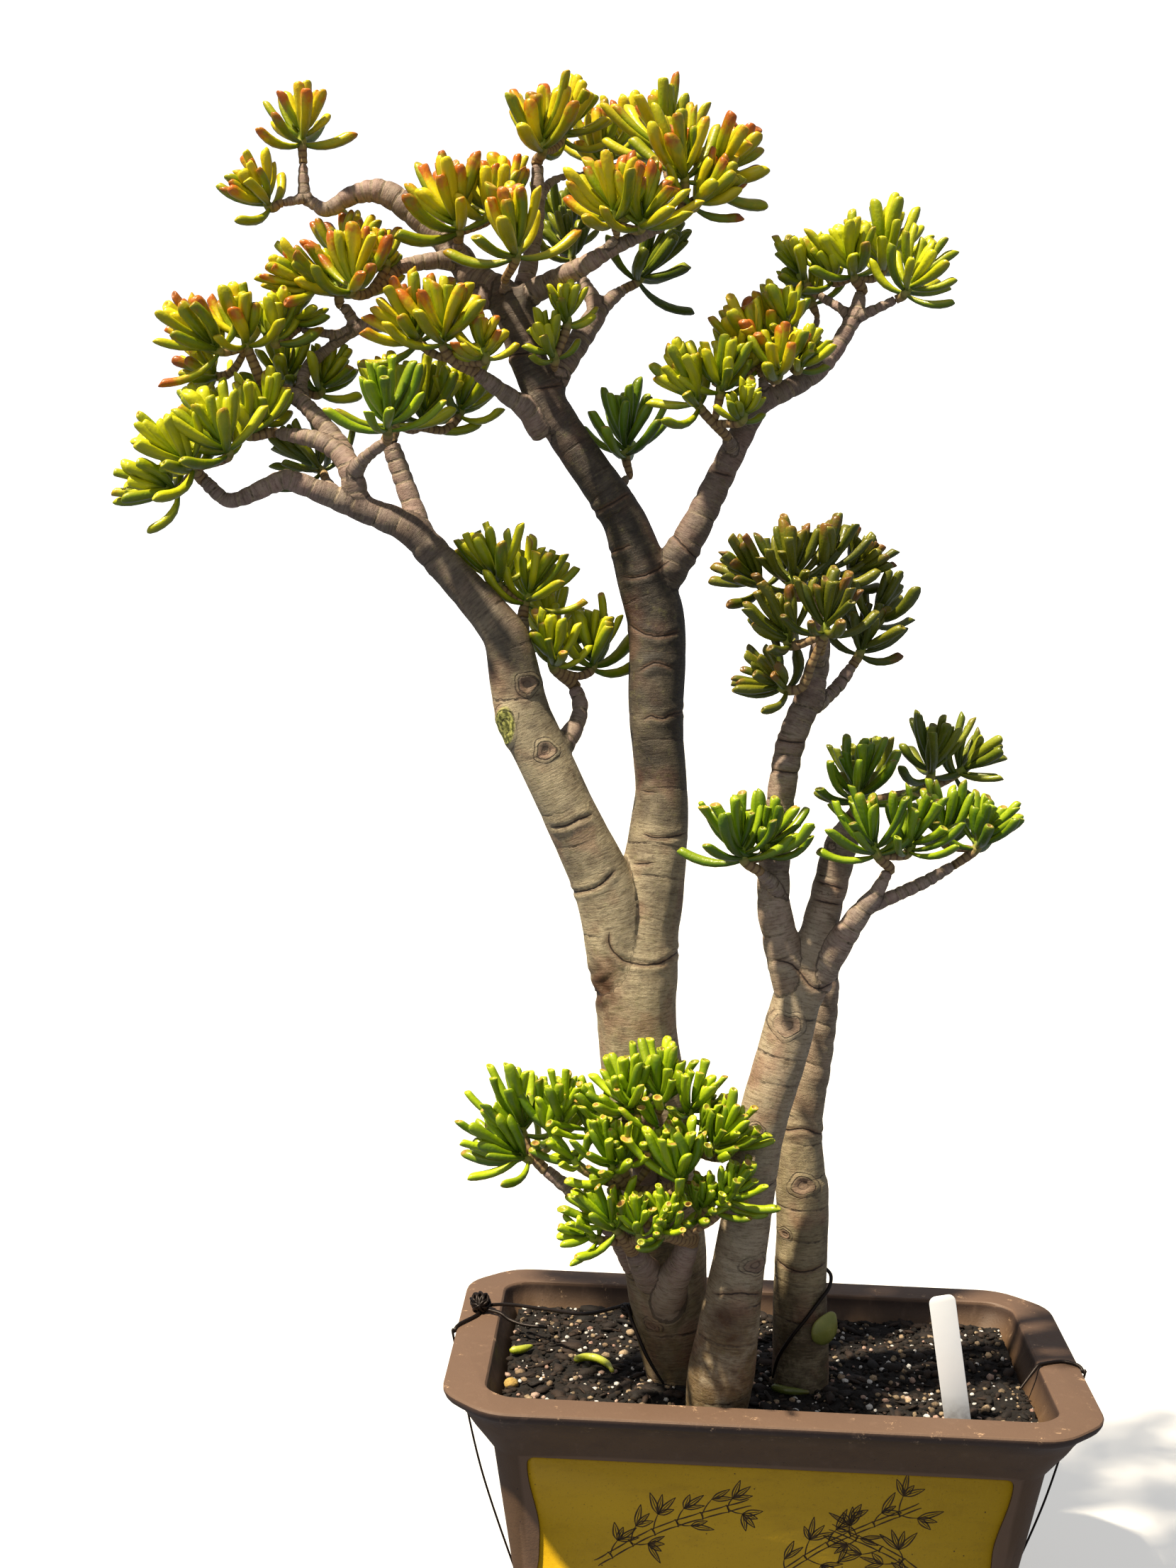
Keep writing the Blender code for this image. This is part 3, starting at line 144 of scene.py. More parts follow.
# Leafy sprays: (branch it grows from, tone, heads). A head is (x, y, z, fan, lean, leaf length).
SPRAYS = {
    "crown_tip": ("limb_top_left", "gold", [(-357, 2, 1056, 92, 0, 38)]),
    "crown_tip_left": ("twig_r2", "gold", [(-376, -8, 1012, 128, 12, 37)]),
    "crown_arm": ("arm_left", "gold", [(-312, -52, 952, 86, 12, 42), (-292, -38, 970, 98, 0, 21)]),
    "crown_arm_back": ("twig_r3", "gold", [(-326, -20, 954, 105, 0, 38), (-339, -30, 956, 148, 10, 36),
        (-323, 4, 973, 88, -5, 42)]),
    "left_top": ("limb_chain", "gold", [(-385, -36, 915, 102, 10, 40), (-401, -44, 911, 142, 10, 46),
        (-408, -18, 896, 150, -20, 26)]),
    "left_top_right": ("twig_r5", "gold", [(-366, -34, 918, 88, 12, 34), (-357, -22, 933, 78, -8, 30)]),
    "left_low": ("limb_left", "gold", [(-411, -78, 831, 138, 15, 44), (-388, -80, 840, 112, 10, 44),
        (-424, -66, 817, 168, 0, 40)]),
    "left_mid": ("limb_fork", "mid", [(-380, -52, 855, 115, 10, 42), (-372, -40, 863, 88, -5, 34),
        (-401, -40, 854, 128, -10, 40)]),
    "left_inner": ("stub_l5", "gold", [(-362, -4, 892, 100, -5, 36), (-342, 0, 887, 72, -5, 34)]),
    "left_under": ("stub_l6", "dark", [(-333, -30, 833, 135, -5, 40)]),
    "left_head_front": ("twig_front", "bright", [(-281, -92, 859, 92, 15, 46)]),
    "left_head_back": ("limb_upright", "mid", [(-283, -30, 866, 95, -10, 46),
        (-268, -2, 870, 80, -15, 46), (-244, 6, 876, 75, -5, 40)]),
    "crown_mid_left": ("twig_t11", "gold", [(-243, -38, 995, 108, 10, 50),
        (-224, -30, 1006, 92, 0, 38)]),
    "crown_front": ("stub_t10", "gold", [(-202, -68, 976, 98, 18, 48), (-214, -22, 1012, 98, 0, 36)]),
    "crown_right": ("twig_t2", "gold", [(-138, -62, 1001, 100, 12, 46), (-122, -66, 997, 70, 15, 42)]),
    "crown_far_right": ("limb_top_right", "gold", [(-93, -48, 1031, 100, 12, 46),
        (-87, -48, 1015, 50, 10, 38), (-75, -28, 1034, 58, 0, 46), (-107, -10, 1054, 95, -5, 48)]),
    "crown_high": ("twig_t1", "gold", [(-190, -14, 1054, 95, 5, 46), (-179, 10, 1067, 72, -5, 38)]),
    "crown_high_right": ("twig_t8", "gold", [(-151, 42, 1055, 96, 0, 42),
        (-133, 62, 1065, 88, -5, 44)]),
    "crown_under": ("limb_right_up", "dark", [(-169, 24, 987, 100, -5, 34),
        (-180, 60, 1005, 95, -10, 38)]),
    "crown_under_right": ("twig_t20", "dark", [(-123, 14, 973, 55, 5, 46)]),
    "leader_buds": ("stub_t18", "mid", [(-175, -56, 912, 112, 5, 28), (-168, -52, 934, 92, 0, 24)]),
    "mid_yellow": ("stub_t15", "gold", [(-249, -66, 918, 86, 12, 46), (-265, -58, 920, 118, 5, 44),
        (-221, -70, 909, 95, 5, 28)]),
    "right_first": ("twig_f1", "gold", [(-77, -58, 884, 122, 8, 40), (-64, -60, 893, 92, 8, 34),
        (-50, -66, 875, 80, 10, 22)]),
    "right_mid": ("twig_f5", "gold", [(-39, -34, 917, 115, 5, 42), (-28, -28, 926, 92, 0, 40),
        (-26, -56, 905, 84, 8, 34), (-53, -40, 903, 100, 0, 36)]),
    "right_inner": ("twig_f8", "mid", [(-1, 6, 960, 112, -5, 32)]),
    "right_inner_low": ("twig_f5b", "mid", [(-20, -36, 938, 104, 0, 30), (-13, -50, 911, 72, 5, 26)]),
    "right_upper_left": ("twig_f9", "mid", [(-7, -2, 973, 122, 5, 32)]),
    "right_top": ("limb_right", "mid", [(24, -18, 977, 106, 8, 38), (46, 2, 985, 88, -5, 44),
        (12, -4, 975, 130, 0, 30)]),
    "right_end": ("twig_f14", "mid", [(57, -34, 965, 60, 5, 38)]),
    "leader_head": ("stub_t23", "dark", [(-126, -4, 851, 90, 0, 48)]),
    "limb_head": ("stub_l8", "bright", [(-191, -32, 748, 72, 0, 44), (-208, -40, 760, 118, 5, 44)]),
    "branchlet_head": ("twig_l9", "mid", [(-169, -42, 705, 102, 10, 38), (-144, -20, 704, 82, -5, 46),
        (-174, -6, 718, 96, -10, 40)]),
    "front_crown": ("stem_left", "shade", [(9, -88, 774, 84, 5, 40), (-13, -98, 766, 92, 5, 42),
        (-31, -96, 767, 136, 0, 36), (25, -72, 774, 52, 0, 32)]),
    "front_middle": ("stub_b2", "shade", [(7, -130, 739, 84, 20, 40), (-13, -122, 731, 116, 10, 40),
        (-14, -118, 702, 150, 5, 34)]),
    "front_side": ("twig_b6", "shade", [(35, -76, 724, 70, 0, 34), (43, -66, 744, 78, 0, 40)]),
    "front_fork_head": ("twig_b8", "bright", [(-37, -124, 590, 104, 8, 44),
        (-25, -116, 593, 76, 5, 40)]),
    "front_stem_top": ("front_trunk", "bright", [(38, -92, 627, 92, 8, 44)]),
    "front_right": ("stem_right", "bright", [(50, -118, 596, 112, 10, 42),
        (69, -112, 597, 66, 10, 42)]),
    "front_right_end": ("twig_b9e", "mid", [(117, -92, 599, 72, 5, 38), (98, -86, 601, 100, -5, 38)]),
    "rear_crown": ("rear_trunk", "dark", [(50, -22, 620, 100, 0, 40), (94, -22, 638, 88, 0, 42),
        (112, -8, 639, 38, 0, 36)]),
    "low_left": ("shoot_left", "bright", [(-177, -82, 388, 104, 0, 50), (-172, -88, 373, 152, 0, 44),
        (-158, -92, 389, 84, 5, 40)]),
    "low_front": ("shoot_front", "bright", [(-78, -130, 339, 95, 15, 30), (-56, -124, 349, 84, 15, 28),
        (-40, -134, 362, 66, 15, 32)]),
    "low_front_left": ("shoot_front_left", "bright", [(-110, -120, 336, 124, 10, 38),
        (-95, -128, 335, 98, 15, 28)]),
    "low_mid": ("shoot_mid", "bright", [(-113, -116, 374, 108, 10, 38), (-70, -130, 372, 96, 15, 44)]),
    "low_top": ("shoot_top", "bright", [(-128, -100, 393, 128, 5, 38), (-107, -102, 413, 98, 5, 40),
        (-85, -106, 419, 86, 5, 42)]),
    "low_top_right": ("shoot_top_right", "bright", [(-66, -110, 412, 78, 5, 40),
        (-50, -126, 395, 68, 10, 38)]),
}

# More heads of the low group, as in SPRAYS, which only the finished plant has.
MORE_HEADS = {
    "low_mid": [(-108, -116, 378, 102, 25, 34), (-85, -110, 397, 95, 20, 34), (-70, -122, 372, 66, 28, 32),
                (-136, -108, 375, 128, 15, 34)],
    "low_front": [(-95, -128, 349, 108, 32, 30), (-51, -128, 358, 55, 25, 30),
                  (-83, -134, 339, 88, 38, 26)],
    "low_top": [(-123, -106, 405, 118, 8, 32), (-100, -102, 413, 92, 12, 34)],
    "low_top_right": [(-58, -118, 399, 80, 22, 32), (-42, -122, 391, 45, 12, 30)],
    "low_left": [(-160, -98, 385, 62, 10, 40), (-150, -98, 399, 88, 0, 36)],
    "low_front_left": [(-122, -118, 329, 158, 12, 26)],
}

RING_STEP = 60                  # the solid branches' ring spacing, whose last stretch aims the shoots
WOOD_STEP = 5.0                 # ring spacing of the finished wood
YOUNG = 12                      # a branch thinner than this is young wood, swollen between its rings
SHOOT_STEP, SHOOT_RINGS = 3.2, 4.6
TUBE_SIDES, SHOOT_SIDES = 22, 9

# Leaves: opposite pairs, each pair turned a quarter round the shoot from the last.
PAIRS = 6
SOLID_PAIRS = (0, 3)            # these stand where the solid model has them
LEAF_RADIUS, LEAF_LENGTH = 3.9, 44
LEAF_SHAPE = ((0.0, 0.4), (1.0, 1.0))
STEM_RADIUS, STEM_TIP = 3.3, 10
HEAD_RISE = 12
SIDE_SHOOT = 2.4                # radius of a further shoot where it leaves the first
BETWEEN = 4                     # further pairs between those, for the full head

# Pot, soil and small pieces, as in the solid model. The pot's rings are (height, half length, half width,
# corner clip). The finished pot has a rounder lip, mouth and neck.
POT_OUTER = [(12, 159, 77, 9), (24, 166, 84, 9), (170, 190, 107, 12), (180, 197, 113, 14),
             (189, 204, 120, 18), (197, 211, 127, 25), (204, 218, 134, 30), (208, 224, 140, 33),
             (213, 226, 142, 34), (215, 224, 140, 33)]
POT_LIP = [(213.4, 226, 142, 34), (214.5, 225.3, 141.3, 33.6), (215, 224, 140, 33)]
POT_MOUTH = [(225, 206, 123, 19), (215, 197.5, 114.5, 15), (214.2, 196.4, 113.3, 14.3), (213, 195.6, 113, 14)]
POT_NECK = (211, 195.2, 112.9, 14)
POT_INNER = [(215, 196, 113, 24), (206, 194, 112, 23), (196, 190, 108, 20), (184, 185, 102, 15),
             (165, 180, 97, 11), (28, 157, 75, 9)]
FOOT, FOOT_AT, PAD_RADIUS = (44, 26, 15), (122, 50), 17
DRAIN_AT, DRAIN_RADIUS = 92, 8
PANEL = dict(top=170, bottom=34, half_top=166, half_waist=156, ogee=50, depth=1.6)
CANES = [       # start, bend and end on the panel (x, height), and thickness
    ((-116, 66), (-72, 96), (-12, 120), 4.4), ((118, 62), (88, 84), (44, 104), 4.0),
    ((6, 60), (46, 92), (104, 124), 3.4),
]
WALL_LOW, WALL_HIGH = POT_OUTER[1], POT_OUTER[2]
WALL_SLOPE = math.atan2(WALL_HIGH[2] - WALL_LOW[2], WALL_HIGH[0] - WALL_LOW[0])
SOIL_TOP, SOIL_FLOOR, SOIL_STEP = 201, 28, 2.6
SOIL_HALF = (188, 106, 9)       # half length and width inside the rim, and its corners' clip
WIRE_SEEN, WIRE_THIN = 1.3, 0.8         # the finished wire: doubled over the rim and soil, single elsewhere
TIE_WIRE = [(181, -27, 202), (193, -18, 214.4), (196.3, -15.5, 216.8), (200, -12, 216.3), (214, -6, 216.2),
            (224.3, -12, 216.3), (227.3, -17, 213.2), (226.9, -19, 206), (204, -23, 116), (168.4, -27, 24),
            (162.5, -28.5, 12.5), (159, -29, 10.3), (153, -29, 10.8), (60, -32, 10.8), (-60, -31, 10.8),
            (-153, -22, 10.8), (-159, -20, 10.3), (-162.5, -19.5, 12.5), (-168.4, -18, 24), (-204, -8, 116),
            (-226.9, 2, 206), (-227.3, 5, 213.2), (-224.3, 12, 216.3), (-214, 30, 216.3), (-210, 43, 216.8),
            (-204, 46, 219), (-187, 30, 226), (-159, 2, 234), (-132, -24, 242), (-110, -36, 252),
            (-101.5, -42, 257), (-99, -51, 252), (-93, -57.5, 240), (-85, -61.5, 225), (-74, -64, 209)]
TIE_KNOTS = [((-212, 43, 222), 7.4, 11), ((-101, -44, 254), 4.2, 6)]     # middle, size, turns
TIE_END = [(-208, 40, 218), (-196, 34, 217.5), (-188, 30, 214), (-176, 24, 213), (-160, 20, 214)]
LOOP_WIRE = [(38.1, -21.8, 284), (41.9, -32.1, 282), (40.2, -43, 277), (33.3, -51.4, 270),
             (23.5, -55.2, 257), (13.1, -53.3, 241), (6.3, -47.7, 225), (3.5, -43, 209)]
LABEL = ((133, -86, 178), (111, -97, 294), 18, 1.0)
FALLEN = [[(-186, -2), (-178, 1), (-170, 9)],
          [(-138, -17), (-131, -11), (-122, -12), (-114, -22), (-110, -35)],
          [(2, -56), (13, -62), (28, -63)]]
FALLEN_RADIUS, BARE = 3.2, 5.5          # no loose grain lies within BARE of a shed leaf
TUCKED_HALF = (10, 3.6, 12.5)
GRAINS = [      # piece, count, radius, flatness, (material, two tones, roughness, texture), more
    ("soil_crumbs", 3000, (0.9, 3.2), (0.35, 0.8), ("bark_crumbs", "#0d0907", "#30241a", 0.95), {}),
    ("tan_grit", 420, (0.8, 2.9), (0.5, 0.9), ("tan_pumice", "#75644f", "#b59f80", 0.9), {}),
    ("tan_pebbles", 70, (2.0, 4.2), (0.5, 0.85), ("tan_stone", "#8a745b", "#c4ac8c", 0.85), {}),
    ("pink_grit", 190, (0.9, 3.4), (0.5, 0.9), ("pink_granite", "#a27f70", "#d0b3a2", 0.85), {}),
    ("white_perlite", 430, (0.7, 2.6), (0.6, 0.95),
     ("perlite", "#d8d4cc", "#f3f1ec", 0.9, 0.8, 0.2), {}),
    ("bark_chips", 800, (2.0, 5.6), (0.2, 0.45), ("bark_chips", "#0c0806", "#3a291d", 0.8),
     {"long": 2.6}),
    ("yellow_pebble", 1, (5.0, 5.2), (0.6, 0.8), ("yellow_stone", "#b8954e", "#c8a860", 0.85),
     {"level": 2, "at": (-181, -53)}),
]

SWOLLEN = {     # how much thicker the middle of a finished branch is than the solid one
    "limb_top_left": 0.32, "limb_top_right": 0.2, "arm_left": 0.2, "limb_chain": 0.15, "twig_rise": 0.15,
    "limb_fork": 0.15, "limb_right_up": 0.1,
}

# Bark marks, as lines and spots of the front view (x, z).
CREASES = {
    "main_tree": [
        [(-124, 529), (-123, 519), (-114, 510), (-101, 507), (-87, 508), (-74, 514)],
        [(-154, 552), (-142, 556), (-132, 561), (-122, 571)],
        [(-104, 595), (-95, 593), (-84, 594), (-75, 596)], [(-109, 574), (-96, 576)],
        [(-106, 673), (-101, 676), (-94, 674), (-89, 677), (-77, 679)], [(-106, 624), (-96, 624)],
        [(-118, 737), (-110, 732), (-98, 730), (-84, 734)], [(-110, 706), (-100, 712), (-88, 709)],
        [(-124, 769), (-112, 770), (-100, 776), (-93, 781)], [(-135, 785), (-120, 791)],
        [(-149, 811), (-135, 818), (-121, 827)], [(-188, 893), (-171, 897)], [(-213, 914), (-190, 918)],
        [(-166, 599), (-155, 602), (-148, 606), (-139, 609)], [(-92, 800), (-72, 781)],
        [(-67, 843), (-53, 840)],
    ],
    "front_tree": [
        [(-13, 522), (-1, 519), (14, 504), (30, 508)], [(13, 574), (31, 570)], [(12, 562), (30, 559)],
        [(-19, 668), (1, 667)], [(-21, 648), (-2, 647)],
        [(-44, 291), (-26, 295), (-12, 292)], [(-41, 367), (-22, 364), (-4, 369)],
    ],
    "rear_tree": [[(0, 387), (16, 392), (32, 385)], [(2, 295), (18, 291), (36, 295)]],
}
KNOTS = {       # middle x, z, half width, half height
    "main_tree": [(-199, 667, 6, 12), (-185, 696, 6, 6), (-171, 652, 6, 6), (-83, 253, 5, 4)],
    "front_tree": [(-3, 478, 9, 7), (-20, 406, 4, 4), (-17, 314, 7, 5), (-6, 609, 4, 4)],
    "rear_tree": [(18, 352, 8, 6), (7, 316, 4, 3)],
}
STAINS = {      # middle x, z, half width, half height of brown, flaking bark
    "main_tree": [(-127, 487, 14, 22)], "front_tree": [(-36, 276, 12, 10), (-30, 262, 7, 5)],
}
PRUNED = (-199, 667)            # the fresh cut, which shows green wood

VOXEL = {"main_tree": 2.0, "front_tree": 1.7, "rear_tree": 1.7}        # the remesh that fuses the branches

# Finished leaves: (along, radius) from root to rim, then down into the cup. A finger leaf is broad and
# blunt, a trumpet leaf is slim with a flared cup.
FINGER = ((0, .40), (.06, .46), (.15, .58), (.27, .76), (.42, .93), (.58, 1.06), (.73, 1.15), (.85, 1.15),
          (.93, 1.02), (.978, .76), (.995, .50), (.985, .34), (.970, .16))
TRUMPET = ((0, .40), (.06, .44), (.15, .54), (.28, .66), (.44, .74), (.60, .77), (.74, .77), (.85, .82),
           (.93, .94), (.975, 1.06), (1.0, .98), (.978, .74), (.935, .34))
CUP_FROM = 10                   # the stations from here on are the rim and the cup
LEAF_SIDES = 8
TONES = {       # share of trumpet leaves' flare (least, most), girth
    "gold": ((0.0, 0.6), 1.06), "mid": ((0.0, 0.7), 1.0), "bright": ((0.0, 1.0), 0.90),
    "dark": ((0.1, 0.7), 0.94), "shade": ((0.1, 0.8), 0.98),
}
RESKINNED = {   # heads shown in another skin than their tone's; green is bright darkened as painted shade
    "left_low": "mid", "left_top_right": "mid", "left_inner": "mid", "limb_head": "mid",
    "right_first": "mid", "leader_head": "green", "front_fork_head": "green", "front_stem_top": "green",
    "front_right": "green", "front_right_end": "green",
}

# Looks.
SUNWARD = (-0.42, -0.28, 0.86)  # towards the key lamp
# The dark and shade skins are partly the leaves' own deeper green and partly painted shade.
LEAF_COLOURS = {        # root (darker as painted shade), body, sunlit body, side towards the sun (painted light), tip, cup
    "gold": ("#5c7e0a", "#98b00c", "#d6c610", "#fae434", "#be5e18", "#c88454"),
    "mid": ("#4c740a", "#8aa60c", "#bcc010", "#f0e434", "#b07a1c", "#c8964c"),
    "bright": ("#48720a", "#70980c", "#94b010", "#d4de28", "#a88a18", "#c4984a"),
    "green": ("#40600a", "#5c860c", "#7a9a10", "#bcc828", "#94801a", "#b08c48"),
    "dark": ("#48600a", "#58700c", "#707812", "#a0a830", "#74681c", "#8c803c"),
    "shade": ("#3e520a", "#50600e", "#666a12", "#94902c", "#7c4c1c", "#8e6c3e"),
}
SHED_COLOURS = {        # the same for loose leaves
    "shed": ("#a4b02c", "#a0b224", "#bcbc34", "#d4d860", "#ac9c3a", "#a0944a"),
    "old": ("#4c5a1c", "#4e5c1c", "#646c2c", "#7c8440", "#6c642c", "#6c6840"),
    "dull": ("#7c8440", "#88903c", "#a4a850", "#c8c878", "#94844a", "#8c8458"),
}
BLUSH_FROM = {  # how low the blush begins: less is lower
    "gold": 1.10, "mid": 1.30, "bright": 1.42, "green": 1.38, "dark": 1.34, "shade": 1.20,
}
# The main tree's grey wood is dark partly as painted shade, and the rear tree's own foot is painted shade.
BARKS = {       # slot, material, old wood, grey wood, pale patches and, if its own, the trunk's foot
    "main_tree": ("bark_main", "jade_bark_main", "#b8aa8a", "#4f473a", "#988b74"),
    "front_tree": ("bark_front", "jade_bark_front", "#b3a286", "#867962", "#beb198"),
    "rear_tree": ("bark_rear", "jade_bark_rear", "#a69774", "#827558", "#b0a284", "#3e3219"),
}
LAMPS = [       # name, kind, place, aim, strength, size (degrees or metres), tone
    ("key", "SUN", (-1.27, -0.81, 2.9), (-0.05, 0, 0.4), 7.6, 2, "#fff0d6"),
    ("fill", "AREA", (-1.7, -2.4, 2.3), (-0.05, 0, 0.5), 7, 1.8, "#fffaf2"),
]
# The camera stands in metres, turned by pitch, yaw and roll.
CAMERA_AT, CAMERA_TURN, CAMERA_LENS = (-0.103, -1.496, 0.797), (6.67, -1.57, 2.10), 48.82


# ---------------------------------------------------------------- materials

def colour(code):
    """A linear colour from an sRGB hex value."""
    parts = [int(code[i:i + 2], 16) / 255 for i in (1, 3, 5)]
    return (*[c / 12.92 if c <= 0.04045 else ((c + 0.055) / 1.055) ** 2.4 for c in parts], 1)


def per(size):
    """The scale of a pattern whose repeats are this many millimetres."""
    return 1 / (size * MM)


def add(tree, kind, inputs=None, out=0, stops=(), **settings):
    """A shader node with its settings and its inputs, as values or other nodes' outputs. Returns an output."""
    made = tree.nodes.new("ShaderNode" + kind)
    for key, value in settings.items():
        setattr(made, key, value)
    if stops:
        for element, (at, value) in zip(made.color_ramp.elements, stops):
            element.position = at
            element.color = (value, value, value, 1)
    for key, value in (inputs or {}).items():
        if isinstance(value, bpy.types.NodeSocket):
            tree.links.new(value, made.inputs[key])
        else:
            made.inputs[key].default_value = value
    return made.outputs[out]


def patches(size, at, detail=3, rough=0.55):
    """The inputs of a noise whose patches are about this many millimetres."""
    return {"Vector": at, "Scale": per(size), "Detail": detail, "Roughness": rough}


def start_material(name, roughness=0.5, **values):
    """A new material, its node tree, its Principled shader and the object's own coordinates."""
    made = bpy.data.materials.new(name)
    made.use_nodes = True
    tree = made.node_tree
    shader = tree.nodes["Principled BSDF"]
    shader.inputs["Roughness"].default_value = roughness
    for key, value in values.items():
        shader.inputs[key.replace("_", " ")].default_value = value
    return made, tree, shader, add(tree, "TexCoord", out="Object")


def share(tree, pattern, stops=(), by=()):
    """How much of a layer shows: a pattern through its two stops, times any further shares."""
    if stops:
        pattern = add(tree, "ValToRGB", {0: pattern}, stops=stops)
    for other in by:
        pattern = add(tree, "Math", {0: pattern, 1: other}, operation="MULTIPLY")
    return pattern


def coat(tree, under, over, *shown, blend="MIX"):
    """A colour laid over another as far as share(*shown) says. A colour is a hex value or another coat."""
    under, over = [colour(c) if isinstance(c, str) else c for c in (under, over)]
    inputs = {0: share(tree, *shown), 6: under, 7: over}
    return add(tree, "Mix", inputs, 2, data_type="RGBA", blend_type=blend)


def dress(tree, shader, tone, reliefs=(), rough=None):
    """The colour joined to the shader, with bumps of (height, depth in millimetres) one on another, and a
    roughness of (pattern, least, most)."""
    tree.links.new(tone, shader.inputs["Base Color"])
    normal = None
    for height, depth in reliefs:
        inputs = {"Height": height, "Strength": 1.0, "Distance": depth * MM}
        if normal is not None:
            inputs["Normal"] = normal
        normal = add(tree, "Bump", inputs)
    if normal is not None:
        tree.links.new(normal, shader.inputs["Normal"])
    if rough:
        pattern, least, most = rough
        rough = add(tree, "MapRange", {0: pattern, 3: least, 4: most})
        tree.links.new(rough, shader.inputs["Roughness"])


# ---------------------------------------------------------------- pieces

def set_values(mesh, **values):
    """Named values on a mesh's points, which its material reads."""
    for key, value in values.items():
        value = np.asarray(value, np.float32)
        kind, field = ("FLOAT_VECTOR", "vector") if value.ndim == 2 else ("FLOAT", "value")
        mesh.attributes.new(key, kind, "POINT").data.foreach_set(field, value.ravel())


def mesh_piece(name, points, faces, made, smooth=True, **values):
    """A piece from points in millimetres and arrays of faces, with named values on its points."""
    mesh = bpy.data.meshes.new(name)
    points = np.asarray(points, float) * MM
    groups = [np.asarray(f, np.int32) for f in (faces if isinstance(faces, list) else [faces])]
    sizes = np.concatenate([np.full(len(g), g.shape[1], np.int32) for g in groups])
    corners = np.concatenate([g.ravel() for g in groups])
    mesh.vertices.add(len(points))
    mesh.vertices.foreach_set("co", points.astype(np.float32).ravel())
    mesh.loops.add(len(corners))
    mesh.loops.foreach_set("vertex_index", corners)
    mesh.polygons.add(len(sizes))
    mesh.polygons.foreach_set("loop_start", np.concatenate([[0], np.cumsum(sizes)[:-1]]).astype(np.int32))
    mesh.update(calc_edges=True)
    set_values(mesh, **values)
    mesh.validate()
    mesh.materials.append(made)
    if smooth:
        mesh.shade_smooth()
    obj = bpy.data.objects.new(name, mesh)
    bpy.context.scene.collection.objects.link(obj)
    return obj


def reworked(obj, step=None):
    """The piece with a step of mesh work done and its faces turned outwards."""
    work = bmesh.new()
    work.from_mesh(obj.data)
    if step:
        step(work)
    bmesh.ops.recalc_face_normals(work, faces=work.faces)
    work.to_mesh(obj.data)
    work.free()
    return obj


def evaluated(obj):
    """The object with its modifiers applied."""
    graph = bpy.context.evaluated_depsgraph_get()
    mesh = bpy.data.meshes.new_from_object(obj.evaluated_get(graph))
    obj.modifiers.clear()
    obj.data = mesh
    return obj


def settle(obj, slot, *nodes):
    """The piece rides on the plant's one body and stands for these solids."""
    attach(obj, "root")
    if nodes:
        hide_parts(*nodes)
    return obj


# ---------------------------------------------------------------- routes

def unit(v):
    """Vectors brought to length 1."""
    return v / np.maximum(np.linalg.norm(v, axis=-1, keepdims=True), 1e-9)


def curve(points, parts):
    """A Catmull-Rom curve through the points. parts says how many steps each stretch has, from its ends."""
    p = np.array(points, float)
    ends = np.vstack([2 * p[0] - p[1], p, 2 * p[-1] - p[-2]])
    out = []
    for i in range(len(p) - 1):
        a, b, c, d = ends[i:i + 4]
        count = parts(b, c)
        for k in range(count):
            t = k / count
            out.append(0.5 * (2 * b + (c - a) * t + (2 * a - 5 * b + 4 * c - d) * t * t
                              + (3 * b - a - 3 * c + d) * t ** 3))
    out.append(p[-1])
    return np.array(out)


def smooth_route(points, step):
    """A curve through the points, with rings about step apart, closer on thin parts."""
    def parts(start, end):
        """How many steps one stretch has."""
        reach = step * min(1.3, max(0.45, start[3] / 9)) if len(start) > 3 else step
        return max(1, round(np.linalg.norm((end - start)[:3]) / reach))

    return curve(points, parts)


def run_along(route):
    """How far along a route each of its points is."""
    return np.append(0, np.cumsum(np.linalg.norm(np.diff(route[:, :3], axis=0), axis=1)))


def frames(points):
    """Tangent and two cross directions at each point, carried along without twist."""
    tangents = unit(np.gradient(points, axis=0))
    side = np.cross(tangents[0], (0.13, 0.98, 0.16))
    sides = []
    for t in tangents:
        side = unit(side - t * np.dot(side, t))
        sides.append(side)
    sides = np.array(sides)
    return tangents, sides, np.cross(tangents, sides)


def grid_faces(rings, sides, first=0):
    """The quads between rings of points."""
    r, k = np.meshgrid(np.arange(rings - 1), np.arange(sides), indexing="ij")
    a, b = r * sides + k, r * sides + (k + 1) % sides
    return (np.stack([a, b, b + sides, a + sides], -1).reshape(-1, 4)) + first


def tube_parts(route, sides, first=0):
    """Points, quads and end triangles of a capped tube along a route of (x, y, z, radius)."""
    points, radii = route[:, :3], route[:, 3]
    _, across, up = frames(points)
    turn = np.linspace(0, 2 * math.pi, sides, endpoint=False)
    ring = (points[:, None] + radii[:, None, None]
            * (np.cos(turn)[None, :, None] * across[:, None] + np.sin(turn)[None, :, None] * up[:, None]))
    verts = np.vstack([ring.reshape(-1, 3), points[:1], points[-1:]])
    quads = grid_faces(len(route), sides, first)
    k = np.arange(sides)
    low, high = len(verts) - 2, len(verts) - 1
    start = np.stack([(k + 1) % sides, k, np.full(sides, low)], -1)
    last = (len(route) - 1) * sides
    end = np.stack([last + k, last + (k + 1) % sides, np.full(sides, high)], -1)
    return verts, quads, np.vstack([start, end]) + first


class Heap:
    """Points and faces gathered from many small shapes for one piece."""

    def __init__(self):
        self.points, self.quads, self.tris, self.values, self.count = [], [], [], {}, 0

    def put(self, points, quads=None, tris=None, **values):
        """One more shape, with values for its points: an array, or one number for all of them."""
        if quads is not None:
            self.quads.append(quads + self.count)
        if tris is not None:
            self.tris.append(tris + self.count)
        self.points.append(points)
        for key, value in values.items():
            value = np.asarray(value, float)
            if value.ndim == 0:
                value = np.full(len(points), float(value))
            self.values.setdefault(key, []).append(value)
        self.count += len(points)

    def piece(self, name, made, smooth=True):
        """All the shapes as one piece."""
        faces = [np.vstack(part) for part in (self.quads, self.tris) if part]
        values = {key: np.concatenate(value) for key, value in self.values.items()}
        return mesh_piece(name, np.vstack(self.points), faces, made, smooth, **values)


